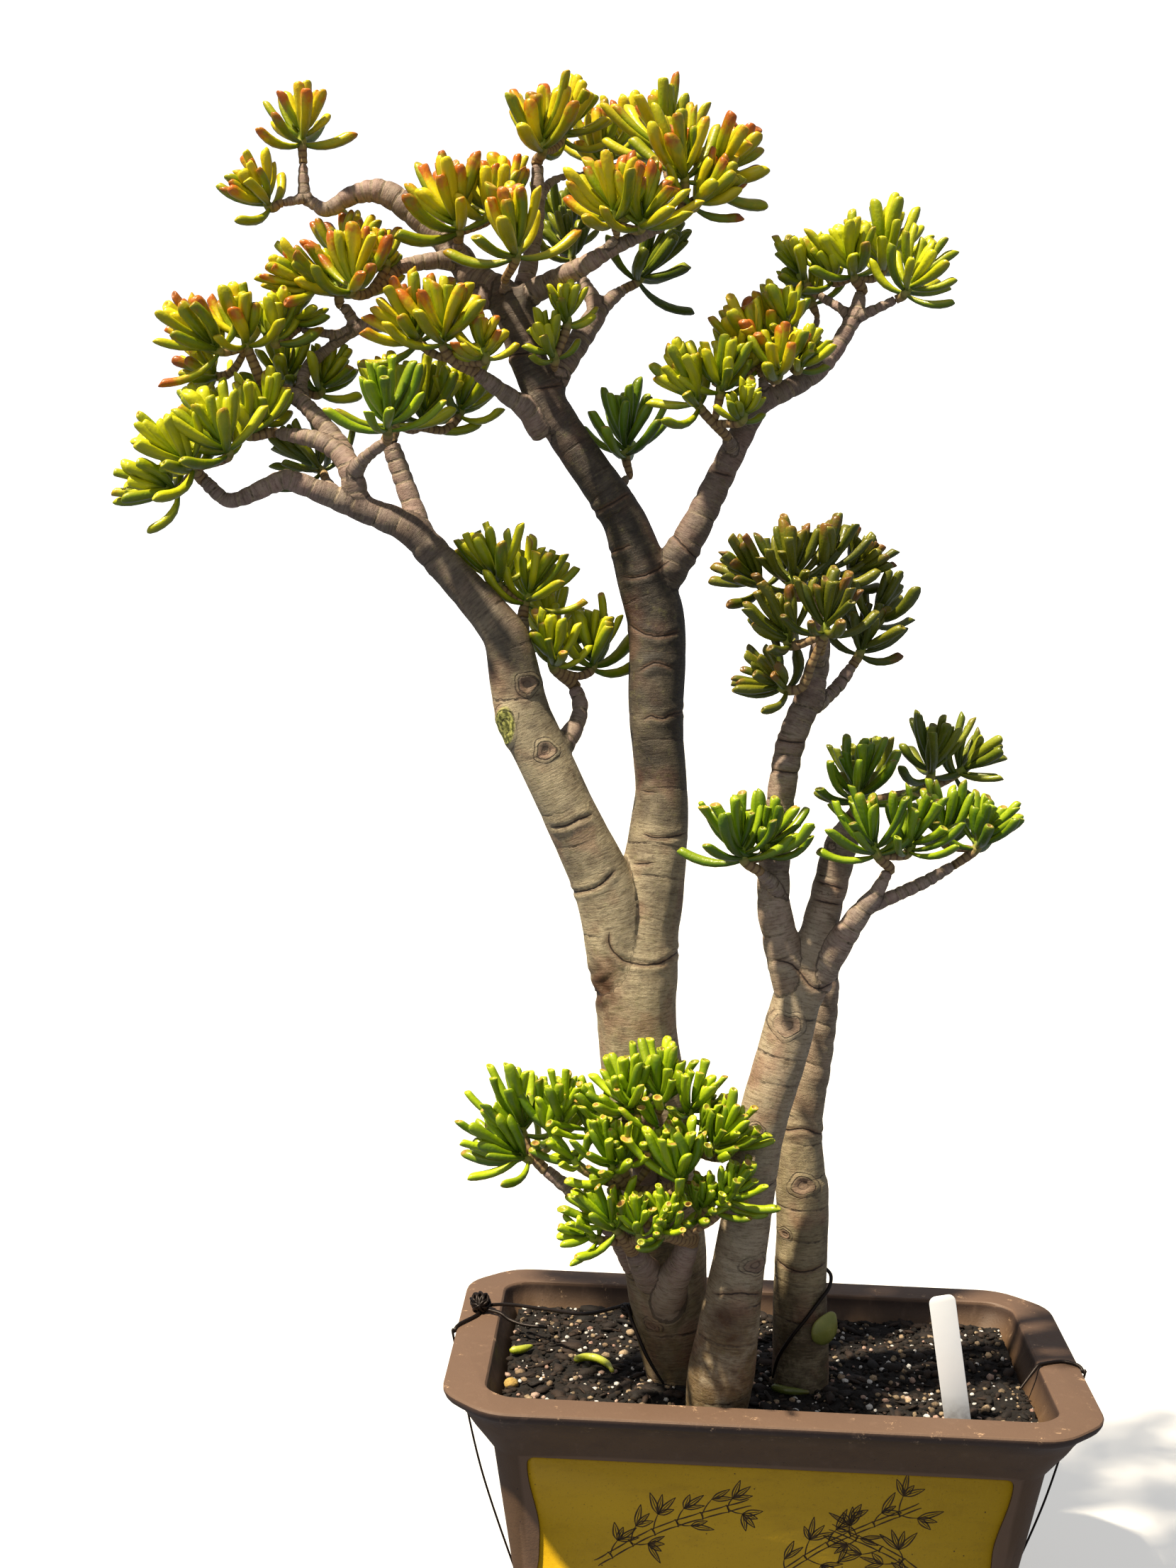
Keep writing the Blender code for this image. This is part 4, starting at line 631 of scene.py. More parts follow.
# ---------------------------------------------------------------- shoots and leaves, as in the solid model

def segment_distance(p, q, a, b):
    """Least distance of the segment p-q from each segment a-b (arrays)."""
    u, v, w = q - p, b - a, p - a
    uu, uv, vv = np.dot(u, u), v @ u, np.einsum("ij,ij->i", v, v)
    wu, wv = w @ u, np.einsum("ij,ij->i", w, v)
    det = uu * vv - uv * uv
    s = np.clip(np.where(det > 1e-9, (uv * wv - vv * wu) / np.maximum(det, 1e-9), 0), 0, 1)
    t = np.clip((uv * s + wv) / np.maximum(vv, 1e-9), 0, 1)
    s = np.clip((uv * t - wu) / max(uu, 1e-9), 0, 1)
    return np.linalg.norm(w + s[:, None] * u - t[:, None] * v, axis=1)


class Crowd:
    """Round-ended rods that stand for the pieces placed so far, so that none meets another."""

    def __init__(self):
        self.rods, self.owners, self.names = np.zeros((0, 7)), np.zeros(0, int), {}

    def number(self, owner):
        """The number that stands for an owner's name."""
        return self.names.setdefault(owner, len(self.names))

    def add(self, owner, route, flat_start=False, flat_end=False):
        """A flat end is drawn back by its radius, since a rod's own end is round."""
        route = np.array(route, float)
        for flat, end, inner in ((flat_start, 0, 1), (flat_end, -1, -2)):
            if flat:
                run = route[inner, :3] - route[end, :3]
                route[end, :3] += run * min(0.95, route[end, 3] / np.linalg.norm(run))
        rods = np.hstack([route[:-1, :3], route[1:, :3], np.maximum(route[:-1, 3:], route[1:, 3:])])
        self.rods = np.vstack([self.rods, rods])
        self.owners = np.append(self.owners, np.full(len(rods), self.number(owner)))

    def room(self, owner, route):
        """Clear distance from everything of other owners, less the radii."""
        rods = self.rods[self.owners != self.number(owner)]
        best = 99.0
        for a, b in zip(route[:-1], route[1:]):
            far = segment_distance(a[:3], b[:3], rods[:, :3], rods[:, 3:6])
            best = min(best, float((far - rods[:, 6]).min()) - max(a[3], b[3]))
        return best


def head_axis(fan, lean):
    """A head's direction: fan is degrees from +X towards +Z, lean is degrees towards the front."""
    fan, lean = math.radians(fan), math.radians(lean)
    return np.array([math.cos(lean) * math.cos(fan), -math.sin(lean), math.cos(lean) * math.sin(fan)])


def stem_route(start, along, head, first):
    """The shoot from the twig's end, or from inside the first shoot, to a head and its green tip."""
    base, axis = np.array(head[:3], float), head_axis(*head[3:5])
    reach = np.linalg.norm(base - start)
    c1, c2 = start + along * reach * 0.35, base - axis * reach * 0.35
    count = max(1, round(reach / 17))
    route = [(*start, first)]
    start = start + along * (1.5 + 0.3 * first)
    for k in range(count + 1):
        t = k / count
        at = (start * (1 - t) ** 3 + 3 * c1 * t * (1 - t) ** 2 + 3 * c2 * t * t * (1 - t) + base * t ** 3)
        route.append((*at, first * (1 - t) + STEM_RADIUS * t))
    route.append((*(base + axis * STEM_TIP), STEM_RADIUS * 0.8))
    return np.array(route)


def leaf_route(base, axis, side, lift, length, radius, bend):
    """A leaf's middle line: it leaves the shoot at lift degrees from its axis and turns up along it."""
    route, at, angle = [], base.copy(), math.radians(lift)
    last = 0.0
    for along, part in LEAF_SHAPE:
        middle = angle - math.radians(bend) * (along + last) / 2
        at = at + (axis * math.cos(middle) + side * math.sin(middle)) * length * (along - last)
        route.append((*at, radius * part))
        last = along
    return np.array(route)


def one_leaf(head, axis, first, second, turn, half, inner, rng):
    """A leaf's arguments of leaf_route: outer leaves lie nearly flat, inner ones (1) stand up."""
    base, length = np.array(head[:3], float), head[5]
    a = math.radians(turn + half + rng.uniform(-17, 17))
    side = first * math.cos(a) + second * math.sin(a)
    lift = 88 - 72 * inner ** 0.85 + rng.uniform(-9, 9)
    reach = length * rng.uniform(0.88, 1.06) * (1 - 0.3 * inner * inner)
    thick = LEAF_RADIUS * (length / LEAF_LENGTH) ** 0.5 * rng.uniform(0.88, 1.12)
    bend = lift * 0.35 + rng.uniform(-8, 10)
    return base + axis * (1 + HEAD_RISE * inner), axis, side, lift, reach, thick, bend


def loosened(leaf, rng):
    """A leaf that the solid model leaves out stands less evenly: nearer the shoot, longer or shorter."""
    base, axis, side, lift, reach, thick, bend = leaf
    turn = math.radians(rng.uniform(-16, 16))
    side = side * math.cos(turn) + np.cross(axis, side) * math.sin(turn)
    return (base, axis, side, max(4, lift * 0.86 + rng.uniform(-15, 15)), reach * rng.uniform(0.78, 1.16),
            thick * rng.uniform(0.85, 1.1), bend)


def head_leaves(head, rng):
    """A head's leaves as (pair, arguments of leaf_route), lowest pair first, and the head's directions."""
    axis = head_axis(*head[3:5])
    first = unit(np.cross(axis, (0.2, 0.97, 0.1)))
    second = np.cross(axis, first)
    turn = rng.uniform(0, 90)
    leaves = []
    for pair in range(PAIRS):
        for half in (0, 180):
            leaves.append((pair, one_leaf(head, axis, first, second, turn + 90 * pair, half,
                                          pair / (PAIRS - 1), rng)))
    return leaves, (axis, first, second, turn)


def settled(crowd, owner, leaf, rng, clear=GAP + 0.35, tries=14):
    """The leaf's arguments, turned, lifted or shortened a little until it clears its neighbours."""
    base, axis, side, lift, reach, thick, bend = leaf
    for attempt in range(tries):
        route = leaf_route(base, axis, side, lift, reach, thick, bend)
        if crowd.room(owner, route) > clear:
            return (base, axis, side, lift, reach, thick, bend), route
        turn = math.radians(rng.uniform(-34, 34))
        side = side * math.cos(turn) + np.cross(axis, side) * math.sin(turn)
        lift = leaf[3] + rng.uniform(-22, 12)
        bend = leaf[6] + rng.uniform(-25, 25)
        reach *= 0.97 if attempt < 7 else 0.93
    return None, None


def grown():
    """Branch ends, shoots and leaves: the solid model's own first, then the leaves that fill each head."""
    crowd, ends = Crowd(), {}
    for tree, branches in TREES.items():
        for name, points in branches.items():
            ends[name] = smooth_route(points, RING_STEP)
            crowd.add(tree, ends[name], flat_end=True)
    shoots, leaves = {}, {}
    for name, (branch, _, heads) in SPRAYS.items():
        end = ends[branch]
        along = unit(end[-1][:3] - end[-2][:3])
        start, first = end[-1][:3] + along * GAP, end[-1][3]
        shoots[name] = []
        for number, head in enumerate(heads):
            if number:
                trunk = shoots[name][0]
                start, first = trunk[2][:3], SIDE_SHOOT
                along = unit(np.array(head[:3], float) - start)
            shoots[name].append(stem_route(start, along, head, first))
        for place, route in enumerate(shoots[name]):
            crowd.add(name, route, flat_start=not place)
    later = []
    for number, (name, (_, _, heads)) in enumerate(SPRAYS.items()):
        leaves[name] = []
        for place, head in enumerate(heads):
            rng = random.Random(SEED + 100 * number + place)
            drawn, around = head_leaves(head, rng)
            for pair, leaf in drawn:
                if pair not in SOLID_PAIRS:
                    later.append((name, leaf))
                    continue
                found, route = settled(crowd, name, leaf, rng)
                if found is not None:
                    leaves[name].append(found)
                    crowd.add(name, route)
            axis, first, second, turn = around
            later += [(name, one_leaf(head, axis, first, second, turn + 45 + 90 * k, half,
                                      (k + 0.5) / BETWEEN, rng))
                      for k in range(BETWEEN) for half in (0, 180)]
    for number, (name, heads) in enumerate(MORE_HEADS.items()):
        trunk = shoots[name][0]
        for place, head in enumerate(heads):
            along = unit(np.array(head[:3], float) - trunk[2][:3])
            shoots[name].append(stem_route(trunk[2][:3], along, head, SIDE_SHOOT))
            drawn, _ = head_leaves(head, random.Random(SEED + 900 + 10 * number + place))
            later += [(name, leaf) for _, leaf in drawn]
    rng = random.Random(SEED)
    for name, leaf in later:
        found, route = settled(crowd, name, loosened(leaf, rng), rng, clear=0.25, tries=5)
        if found is not None:
            leaves[name].append(found)
            crowd.add(name, route)
    return shoots, leaves


# ---------------------------------------------------------------- finished leaves

def leaf_parts(leaf, flare, rng):
    """Points, quads, tris and the along and cup values of one finished leaf."""
    base, axis, side, lift, reach, thick, bend = leaf
    shape = np.array(FINGER) * (1 - flare) + np.array(TRUMPET) * flare
    along, radii = shape[:, 0], shape[:, 1] * thick
    steps = np.linspace(0, 1, 25)
    arc = math.radians(bend + rng.uniform(12, 52) * lift / 88)      # the same chord, but a rounder arc
    start = math.radians(lift - bend / 2) + arc / 2
    angle = start - arc * steps
    run = axis * np.cos(angle)[:, None] + side * np.sin(angle)[:, None]
    line = np.vstack([[0, 0, 0], np.cumsum((run[1:] + run[:-1]) / 2, axis=0) * (reach / (len(steps) - 1))])
    across = np.cross(axis, side)
    sway = rng.uniform(-0.16, 0.16) * reach
    line = line + across * (sway * steps ** 2)[:, None]
    middle = base + np.stack([np.interp(along, steps, line[:, k]) for k in range(3)], -1)
    angle = start - arc * along
    tangent = axis * np.cos(angle)[:, None] + side * np.sin(angle)[:, None]
    outer = -axis * np.sin(angle)[:, None] + side * np.cos(angle)[:, None]
    turn = np.linspace(0, 2 * math.pi, LEAF_SIDES, endpoint=False) + rng.uniform(0, 0.7)
    flat = rng.uniform(0.72, 0.92)
    radii = radii * (1 + 0.05 * np.sin(along * rng.uniform(7, 14) + rng.uniform(0, 6)))
    slant = rng.uniform(0.1, 0.75) * np.clip((along - 0.8) / 0.15, 0, 1)
    ring = (middle[:, None] + radii[:, None, None] * (np.cos(turn)[None, :, None] * across
            + (flat * np.sin(turn))[None, :, None] * outer[:, None]
            + (slant[:, None] * np.sin(turn)[None])[..., None] * tangent[:, None]))
    count = len(along)
    floor = ring[-1].mean(0)[None] - tangent[-1] * thick * 0.15 * (0.4 + flare)
    verts = np.vstack([ring.reshape(-1, 3), floor, middle[:1]])
    k = np.arange(LEAF_SIDES)
    last = (count - 1) * LEAF_SIDES
    floor, root = np.full(LEAF_SIDES, len(verts) - 2), np.full(LEAF_SIDES, len(verts) - 1)
    tris = np.vstack([np.stack([last + k, last + (k + 1) % LEAF_SIDES, floor], -1),
                      np.stack([(k + 1) % LEAF_SIDES, k, root], -1)])
    cup = np.where(np.arange(count) > CUP_FROM, 1.0, 0.0)
    cup[CUP_FROM] = 0.35
    along, cup = [np.append(np.repeat(value, LEAF_SIDES), [1.0, 0.0]) for value in (along, cup)]
    return verts, grid_faces(count, LEAF_SIDES)[:, ::-1], tris[:, ::-1], along, cup


def make_spray(number, name, shoots, leaves, tone, made, bark):
    """A spray's leaves, and its shoots as a piece of their own with a swelling at every leaf scar."""
    rng = random.Random(SEED + 7 * number)
    (least, most), girth = TONES[tone]
    heap, wood = Heap(), Heap()
    for route in shoots:
        fine = smooth_route(route, SHOOT_STEP)
        run = run_along(fine)
        fine[:, 3] *= 1 + 0.04 * np.sin(run * 2 * math.pi / SHOOT_RINGS)
        fine[-1, 3] *= 0.6
        rings = np.append(np.repeat(run, SHOOT_SIDES), [run[0], run[-1]])
        wood.put(*tube_parts(fine, SHOOT_SIDES), run=rings * MM, left=np.clip((run[-1] - rings) / 22, 0, 1))
    for leaf in leaves:
        flare = least + (most - least) * rng.random() ** 1.5
        leaf = (*leaf[:5], leaf[5] * girth, leaf[6])
        verts, quads, tris, along, cup = leaf_parts(leaf, flare, rng)
        lift = leaf[3]
        # A leaf's sun value, higher on upright leaves: it warms the leaf's colour and paints it darker or
        # brighter as light and shade.
        sun = np.clip(0.5 + 0.5 * rng.uniform(-1, 1) + 0.15 * (1 - lift / 90), 0, 1)
        heap.put(verts, quads, tris, along=along, cup=cup, tint=rng.random(), sun=sun)
    settle(heap.piece(name + "_leaves", made[RESKINNED.get(name, tone)]), "leaf_" + tone, name)
    settle(wood.piece(name + "_shoots", bark), "bark_main")


# ---------------------------------------------------------------- finished wood

def smoothstep(value, low, high):
    """0 below low, 1 above high and a smooth rise between."""
    t = np.clip((value - low) / (high - low), 0, 1)
    return t * t * (3 - 2 * t)


def scar_rings(run, radius, rng):
    """Where a branch's ring scars lie along it: close together on twigs, far apart on old wood."""
    places, at = [], rng.uniform(2, 6)
    while at < run[-1]:
        r = np.interp(at, run, radius)
        places.append(at)
        at += min(40, max(4.2, 1.35 * r + 1.5)) * rng.uniform(0.65, 1.5)
    return np.array(places + [run[-1] + 60])


def branch_tubes(tree, rng):
    """A heap with a tube for each branch, and each branch's route, run, ring scars and phase."""
    heap, lines = Heap(), []
    for order, (name, points) in enumerate(TREES[tree].items()):
        route = smooth_route(points, WOOD_STEP)
        run = run_along(route)
        lines.append((route, run, scar_rings(run, route[:, 3], rng), rng.uniform(0, 6)))
        tube, thick = route.copy(), route[0, 3]
        arch = np.maximum(np.sin(math.pi * run / run[-1]), 0) ** 0.5
        tube[:, 3] *= 1 + SWOLLEN.get(name, 0) * arch
        if order and thick < YOUNG:
            tube[:, 3] *= 1 + 0.30 * np.exp(-run / (2.2 * thick))
        elif order:         # a heavy limb grows out of its parent from a tapered root deep inside it
            gaps = [np.linalg.norm(line[:, :3] - route[0, :3], axis=1) / line[:, 3]
                    for line, *_ in lines[:-1]]
            parent = min(range(order), key=lambda one: gaps[one].min())
            foot = max(0, gaps[parent].argmin() - round(3.4 * thick / WOOD_STEP))
            back = lines[parent][0][foot, :3]
            middle = (back + route[0, :3]) / 2
            tube = smooth_route([(*back, 0.45 * thick), (*middle, 0.8 * thick), *tube], WOOD_STEP)
        tube[:, 3] = np.maximum(tube[:, 3], 2.3)
        heap.put(*tube_parts(tube, TUBE_SIDES))
    return heap, lines


def nearest_branch(points, lines):
    """For each point: how far along its nearest branch it is, the radius there, the branch's number and the
    angle round it."""
    line_points = np.vstack([route[:, :3] for route, *_ in lines]).astype(np.float32)
    line_radius = np.concatenate([route[:, 3] for route, *_ in lines]).astype(np.float32)
    line_run = np.concatenate([run for _, run, *_ in lines])
    owner = np.concatenate([np.full(len(run), k) for k, (_, run, *_) in enumerate(lines)])
    tangents = np.vstack([frames(route[:, :3])[0] for route, *_ in lines])
    near, batch = np.zeros(len(points), int), 4096
    for low in range(0, len(points), batch):
        far = np.linalg.norm(points[low:low + batch, None] - line_points[None], axis=2) / line_radius
        near[low:low + batch] = far.argmin(1)
    offset, tangent = points - line_points[near], tangents[near]
    ahead = np.einsum("ij,ij->i", offset, tangent)
    flat = unit(offset - tangent * ahead[:, None])
    across = unit(np.cross(tangent, (0.05, 1.0, 0.1)))
    angle = np.arctan2(np.einsum("ij,ij->i", flat, np.cross(tangent, across)),
                       np.einsum("ij,ij->i", flat, across))
    return line_run[near] + ahead, line_radius[near], owner[near], angle


def ring_marks(push, lines, run, radius, own, angle):
    """Ring scars and the swellings between them, added to push. The values say, for each point, which scar
    it is near, how far apart the scars are and how strong they are."""
    scar, spacing, scarred = np.zeros(len(run)), np.full(len(run), 9.0), np.zeros(len(run))
    for k, (_, _, places, phase) in enumerate(lines):
        mine = own == k
        if not mine.any():
            continue
        s, a, r = run[mine], angle[mine], radius[mine]
        s = s + (0.05 * r + 0.3) * np.sin(a + phase) + 0.025 * r * np.sin(3 * a + 2 * phase)
        after = np.clip(np.searchsorted(places, s), 1, len(places) - 1)
        gap = np.maximum(places[after] - places[after - 1], 1)
        t = (s - places[after - 1]) / gap
        which = after - 1 + (t > 0.5)
        part = 0.5 + 0.5 * np.sin(a * (1 + which % 2) + which * 2.4 + phase)
        part = np.where(r < 7, 0.6 + 0.4 * part, part ** 1.5)
        cut = np.exp(-(np.minimum(np.abs(t), np.abs(1 - t)) * gap / 1.3) ** 2) * part
        swell = np.sin(math.pi * np.clip(t, 0, 1)) * np.where(r < YOUNG, 0.065 * r, 0.22)
        deep = cut * np.where(r < YOUNG, 0.42, 0.14)
        push[mine] = swell - deep + 0.5 * np.clip((YOUNG - r) / 6, 0, 1)
        scar[mine], spacing[mine], scarred[mine] = after - 1 + t, gap, part
    lump = 0.045 * radius * (np.sin(run / 31 + 2 * angle) + 0.7 * np.sin(run / 17 - angle + 1))
    push += lump * np.where(radius > 9, 1, 0.3)
    return dict(scar=scar, spacing=spacing, scarred=scarred)


def line_distance(points, line):
    """How far points lie above (+) or below (-) a polyline of the front view, and how much of the line is
    left there: 1 along it, fading to 0 at its ends."""
    line = np.array(line, float)
    signed, near, left = np.full(len(points), 99.0), np.full(len(points), 1e9), np.zeros(len(points))
    lengths = np.linalg.norm(np.diff(line, axis=0), axis=1)
    starts = np.append(0, np.cumsum(lengths))
    for number, (a, b) in enumerate(zip(line[:-1], line[1:])):
        way = (b - a) / lengths[number]
        along = (points - a) @ way
        far = np.linalg.norm(points - a - np.clip(along, 0, lengths[number])[:, None] * way, axis=1)
        take = far < near
        near[take] = far[take]
        signed[take] = (way[0] * (points - a)[:, 1] - way[1] * (points - a)[:, 0])[take]
        left[take] = (starts[number] + along)[take]
    return signed, np.clip(np.minimum(left, starts[-1] - left) / 5 + 0.3, 0, 1)


def front_marks(push, tree, points, front):
    """The creases, knots and stains of the tree's front, added to push, and the values its bark reads."""
    count, x_at, z_at = len(points), points[:, 0], points[:, 2]
    crease, creased = np.full(count, 99.0), np.zeros(count)
    for line in CREASES.get(tree, ()):
        signed, left = line_distance(points[:, [0, 2]], smooth_route(line, 3) if len(line) > 2 else line)
        left = left * front
        take = (np.abs(signed) < np.abs(crease)) & (left > 0)
        crease[take], creased[take] = signed[take], left[take]
        lips = 0.75 * np.exp(-((np.abs(signed) - 3.4) / 2.4) ** 2)
        push += left * (lips - 0.55 * np.exp(-(signed / 1.3) ** 2))
    knot, knot_size = np.full(count, 9.0), np.full(count, 5.0)
    for x, z, wide, tall in KNOTS.get(tree, ()):
        turn = np.arctan2(z_at - z, x_at - x)
        r = np.hypot((x_at - x) / wide, (z_at - z) / tall)
        r = r * (1 + 0.09 * np.sin(3 * turn + x) + 0.05 * np.sin(5 * turn + z))
        spot = front & (r < 3)
        push += (1.0 * np.exp(-((r - 1.0) / 0.32) ** 2) - 0.8 * np.exp(-(r / 0.5) ** 2)) * spot
        knot[spot], knot_size[spot] = r[spot], (wide + tall) / 2
    stain = np.zeros(count)
    for x, z, wide, tall in STAINS.get(tree, ()):
        spot = np.exp(-((x_at - x) / wide) ** 2 - ((z_at - z) / tall) ** 2) * front
        stain = np.maximum(stain, spot)
        push += spot * 0.8 * np.sin(x_at / 1.9 + 2 * np.sin(z_at / 3.1))
    fresh = np.exp(-((np.hypot((x_at - PRUNED[0]) / 7, (z_at - PRUNED[1]) / 14)) ** 4)) * front
    return dict(crease=crease, creased=creased, knot=knot, knot_size=knot_size, stain=stain,
                fresh=fresh * (tree == "main_tree"))


def make_tree(tree, number, made):
    """The fused wood: tubes joined by a fine remesh, smoothed, then ringed, creased and knotted."""
    heap, lines = branch_tubes(tree, random.Random(SEED + 50 * number))
    obj = heap.piece(tree + "_wood", made)
    remesh = obj.modifiers.new("fuse", "REMESH")
    remesh.mode, remesh.voxel_size = "VOXEL", VOXEL[tree] * MM
    soft = obj.modifiers.new("soften", "SMOOTH")
    soft.factor, soft.iterations = 0.5, 5
    mesh = evaluated(obj).data
    points, normals = np.zeros((2, len(mesh.vertices) * 3), np.float32)
    mesh.vertices.foreach_get("co", points)
    mesh.vertices.foreach_get("normal", normals)
    points, normals = points.reshape(-1, 3) / MM, normals.reshape(-1, 3)
    run, radius, own, angle = nearest_branch(points, lines)
    push = np.zeros(len(points))
    values = ring_marks(push, lines, run, radius, own, angle)
    values.update(front_marks(push, tree, points, normals[:, 1] < 0.35))
    points = points + normals * push[:, None]
    mesh.vertices.foreach_set("co", (points * MM).astype(np.float32).ravel())
    # The bark's own coordinates: round the branch and along it, with no seam, and apart for each branch.
    grain = np.stack([np.cos(angle) * radius, np.sin(angle) * radius, run + 400 * own], -1) * MM
    limb = smoothstep(-points[:, 0], 118, 150) if tree == "main_tree" else 0.0
    high = points[:, 2] / 1000 - 0.10 * limb      # the left limb greys, and takes the upper wood's painted shade, further up than the trunk
    set_values(mesh, grain=grain, age=smoothstep(radius, 5, 17), high=high, **values)
    mesh.update()
    mesh.shade_smooth()
    settle(obj, BARKS[tree][0], tree)


# ---------------------------------------------------------------- finished pot

def clipped_ring(half_x, half_y, clip, soft, detail=4):
    """A rectangle with clipped, slightly rounded corners, as (x, y) points, extra ones along its sides."""
    corners = [(half_x, half_y - clip), (half_x - clip, half_y), (clip - half_x, half_y),
               (-half_x, half_y - clip), (-half_x, clip - half_y), (clip - half_x, -half_y),
               (half_x - clip, -half_y), (half_x, clip - half_y)]
    corners = np.array(corners, float)
    out = []
    for k in range(8):
        before, at, after = corners[k - 1], corners[k], corners[(k + 1) % 8]
        a, b = unit(before - at), unit(after - at)
        reach = min(soft, 0.4 * np.linalg.norm(before - at), 0.4 * np.linalg.norm(after - at))
        start, end = at + a * reach, at + b * reach
        for j in range(detail + 1):
            t = j / detail
            out.append((1 - t) ** 2 * start + 2 * t * (1 - t) * at + t * t * end)
        length = np.linalg.norm(after - at)
        if length > 60:
            far = after - b * reach
            out += [end + (far - end) * t for t in np.linspace(0, 1, 9)[1:-1]]
    return np.array(out)


def loft(name, rings, soft, made):
    """A closed solid through rings of (height, half x, half y, clip)."""
    points = []
    for height, half_x, half_y, clip in rings:
        flat = clipped_ring(half_x, half_y, clip, soft)
        size = len(flat)
        points.append(np.column_stack([flat, np.full(size, height)]))
    bottom = np.arange(size)[None]
    faces = [grid_faces(len(rings), size), bottom[:, ::-1], bottom + (len(rings) - 1) * size]
    return reworked(mesh_piece(name, np.vstack(points), faces, made))


def slab(name, outline, low, high, at, made):
    """A flat outline filled between two heights of its own frame."""
    count = len(outline)
    flat, bottom = np.array(outline, float), np.arange(count)[None]
    verts = np.vstack([np.column_stack([flat, np.full(count, height)]) for height in (low, high)])
    verts = np.array([at @ Vector(v) for v in verts])
    faces = [grid_faces(2, count), bottom[:, ::-1], bottom + count]
    return reworked(mesh_piece(name, verts, faces, made, False))


def block(name, middle, sizes, made):
    """A box by its middle and its sizes."""
    edge = [(sx * sizes[0] / 2, sy * sizes[1] / 2) for sx, sy in ((1, 1), (-1, 1), (-1, -1), (1, -1))]
    return slab(name, edge, -sizes[2] / 2, sizes[2] / 2, Matrix.Translation(middle), made)


def disc(name, x, y, low, high, radius, made):
    """An upright round solid between two heights."""
    turn = np.linspace(0, 2 * math.pi, 48, endpoint=False)
    edge = [(radius * math.cos(a), radius * math.sin(a)) for a in turn]
    return slab(name, edge, low, high, Matrix.Translation((x, y, 0)), made)


def boolean(obj, others, operation):
    """The piece joined with or cut by others, which are used up."""
    for other in others:
        step = obj.modifiers.new(operation.lower(), "BOOLEAN")
        step.operation, step.solver, step.object = operation, "EXACT", other
    evaluated(obj)
    for other in others:
        bpy.data.objects.remove(other, do_unlink=True)


def panel_outline(shrink=0.0):
    """The panel's edge, as points of the wall's plane: round corners, then an ogee to the waist."""
    top, bottom = PANEL["top"] - shrink, PANEL["bottom"] + shrink
    wide, waist = PANEL["half_top"] - shrink, PANEL["half_waist"] - shrink
    half = [(wide - 5 + 5 * math.sin(a), top - 5 + 5 * math.cos(a)) for a in np.linspace(0, math.pi / 2, 6)]
    for k in range(1, 13):
        t = k / 12
        half.append((wide + (waist - wide) * (3 * t * t - 2 * t ** 3), top - 5 - (PANEL["ogee"] + 5) * t))
    half += [(x, top + bottom - z) for x, z in reversed(half)]
    outline = half + [(-x, z) for x, z in reversed(half)]
    return [(x, (z - WALL_LOW[0]) / math.cos(WALL_SLOPE)) for x, z in outline]


def wall_frame(side, out=0.0):
    """The plane of the front (side 1) or back (side -1) wall: x across, y up the wall, z outwards."""
    foot = Matrix.Translation((0, -WALL_LOW[2], WALL_LOW[0]))
    at = Matrix.Rotation(0 if side > 0 else math.pi, 4, "Z") @ foot
    return at @ Matrix.Rotation(math.pi / 2 + WALL_SLOPE, 4, "X") @ Matrix.Translation((0, 0, out))


def make_pot(clay):
    """The pot: a flared body on feet, hollowed, its panels sunk and its drain holes cut, all edges worn."""
    wall, bend = np.array(POT_OUTER[1], float), curve(POT_OUTER[2:], lambda *_: 4)
    straight = [wall + (bend[0] - wall) * t for t in (0.25, 0.5, 0.75)]
    body = loft("pot_body", [*POT_OUTER[:2], *straight, *bend[:-2], *POT_LIP], 16, clay)
    inner = [(z, x, y, min(clip, POT_NECK[3])) for z, x, y, clip in POT_INNER[1:]]
    hollow = loft("cavity", [*POT_MOUTH, *curve([POT_NECK] + inner, lambda *_: 3)], 9, clay)
    feet = [block("foot", (sx * FOOT_AT[0], sy * FOOT_AT[1], FOOT[2] / 2), FOOT, clay)
            for sx in (-1, 1) for sy in (-1, 1)]
    boolean(body, feet + [disc("pad", 0, 0, 0, FOOT[2], PAD_RADIUS, clay)], "UNION")
    panels = [slab("panel_cutter", panel_outline(), -PANEL["depth"], 12, wall_frame(side), clay)
              for side in (1, -1)]
    drains = [disc("drain", sx * DRAIN_AT, 0, 2, 60, DRAIN_RADIUS, clay) for sx in (-1, 1)]
    boolean(body, [hollow] + panels + drains, "DIFFERENCE")
    soft = body.modifiers.new("worn_edges", "BEVEL")
    soft.width, soft.segments, soft.limit_method, soft.angle_limit = 1.1 * MM, 3, "ANGLE", math.radians(34)
    evaluated(body)
    body.data.shade_smooth()
    body.data.set_sharp_from_angle(angle=math.radians(32))
    settle(body, "pot_clay", "pot")


def make_panel(side, ochre):
    """The painted face of a panel, lying in its recess."""
    low, high = 0.05 - PANEL["depth"], 0.5 - PANEL["depth"]
    name = "painted_panel_" + ("front" if side > 0 else "back")
    settle(slab(name, panel_outline(0.35), low, high, wall_frame(side), ochre), "pot_clay")


# The panel's drawing: bamboo in dark brown line work, three canes with leaf sprays.

def stroke(heap, line, wide, at):
    """A drawn line as a flat ribbon that thins at both ends, on the panel's face."""
    line = np.array(line, float)
    if len(line) > 2:
        line = smooth_route(line, 2.0)
    direction = unit(np.gradient(line, axis=0))
    across = np.stack([-direction[:, 1], direction[:, 0]], -1)
    t = np.linspace(0, 1, len(line))
    width = wide * (0.45 + 0.55 * np.sin(math.pi * np.clip(t, 0.04, 0.96)))[:, None] / 2
    left, right = line + across * width, line - across * width
    flat = np.empty((2 * len(line), 2))
    flat[0::2], flat[1::2] = left, right
    verts = np.array([at @ Vector((x, y, 0)) for x, y in flat])
    k = np.arange(len(line) - 1) * 2
    heap.put(verts, np.stack([k + 1, k + 3, k + 2, k], -1))


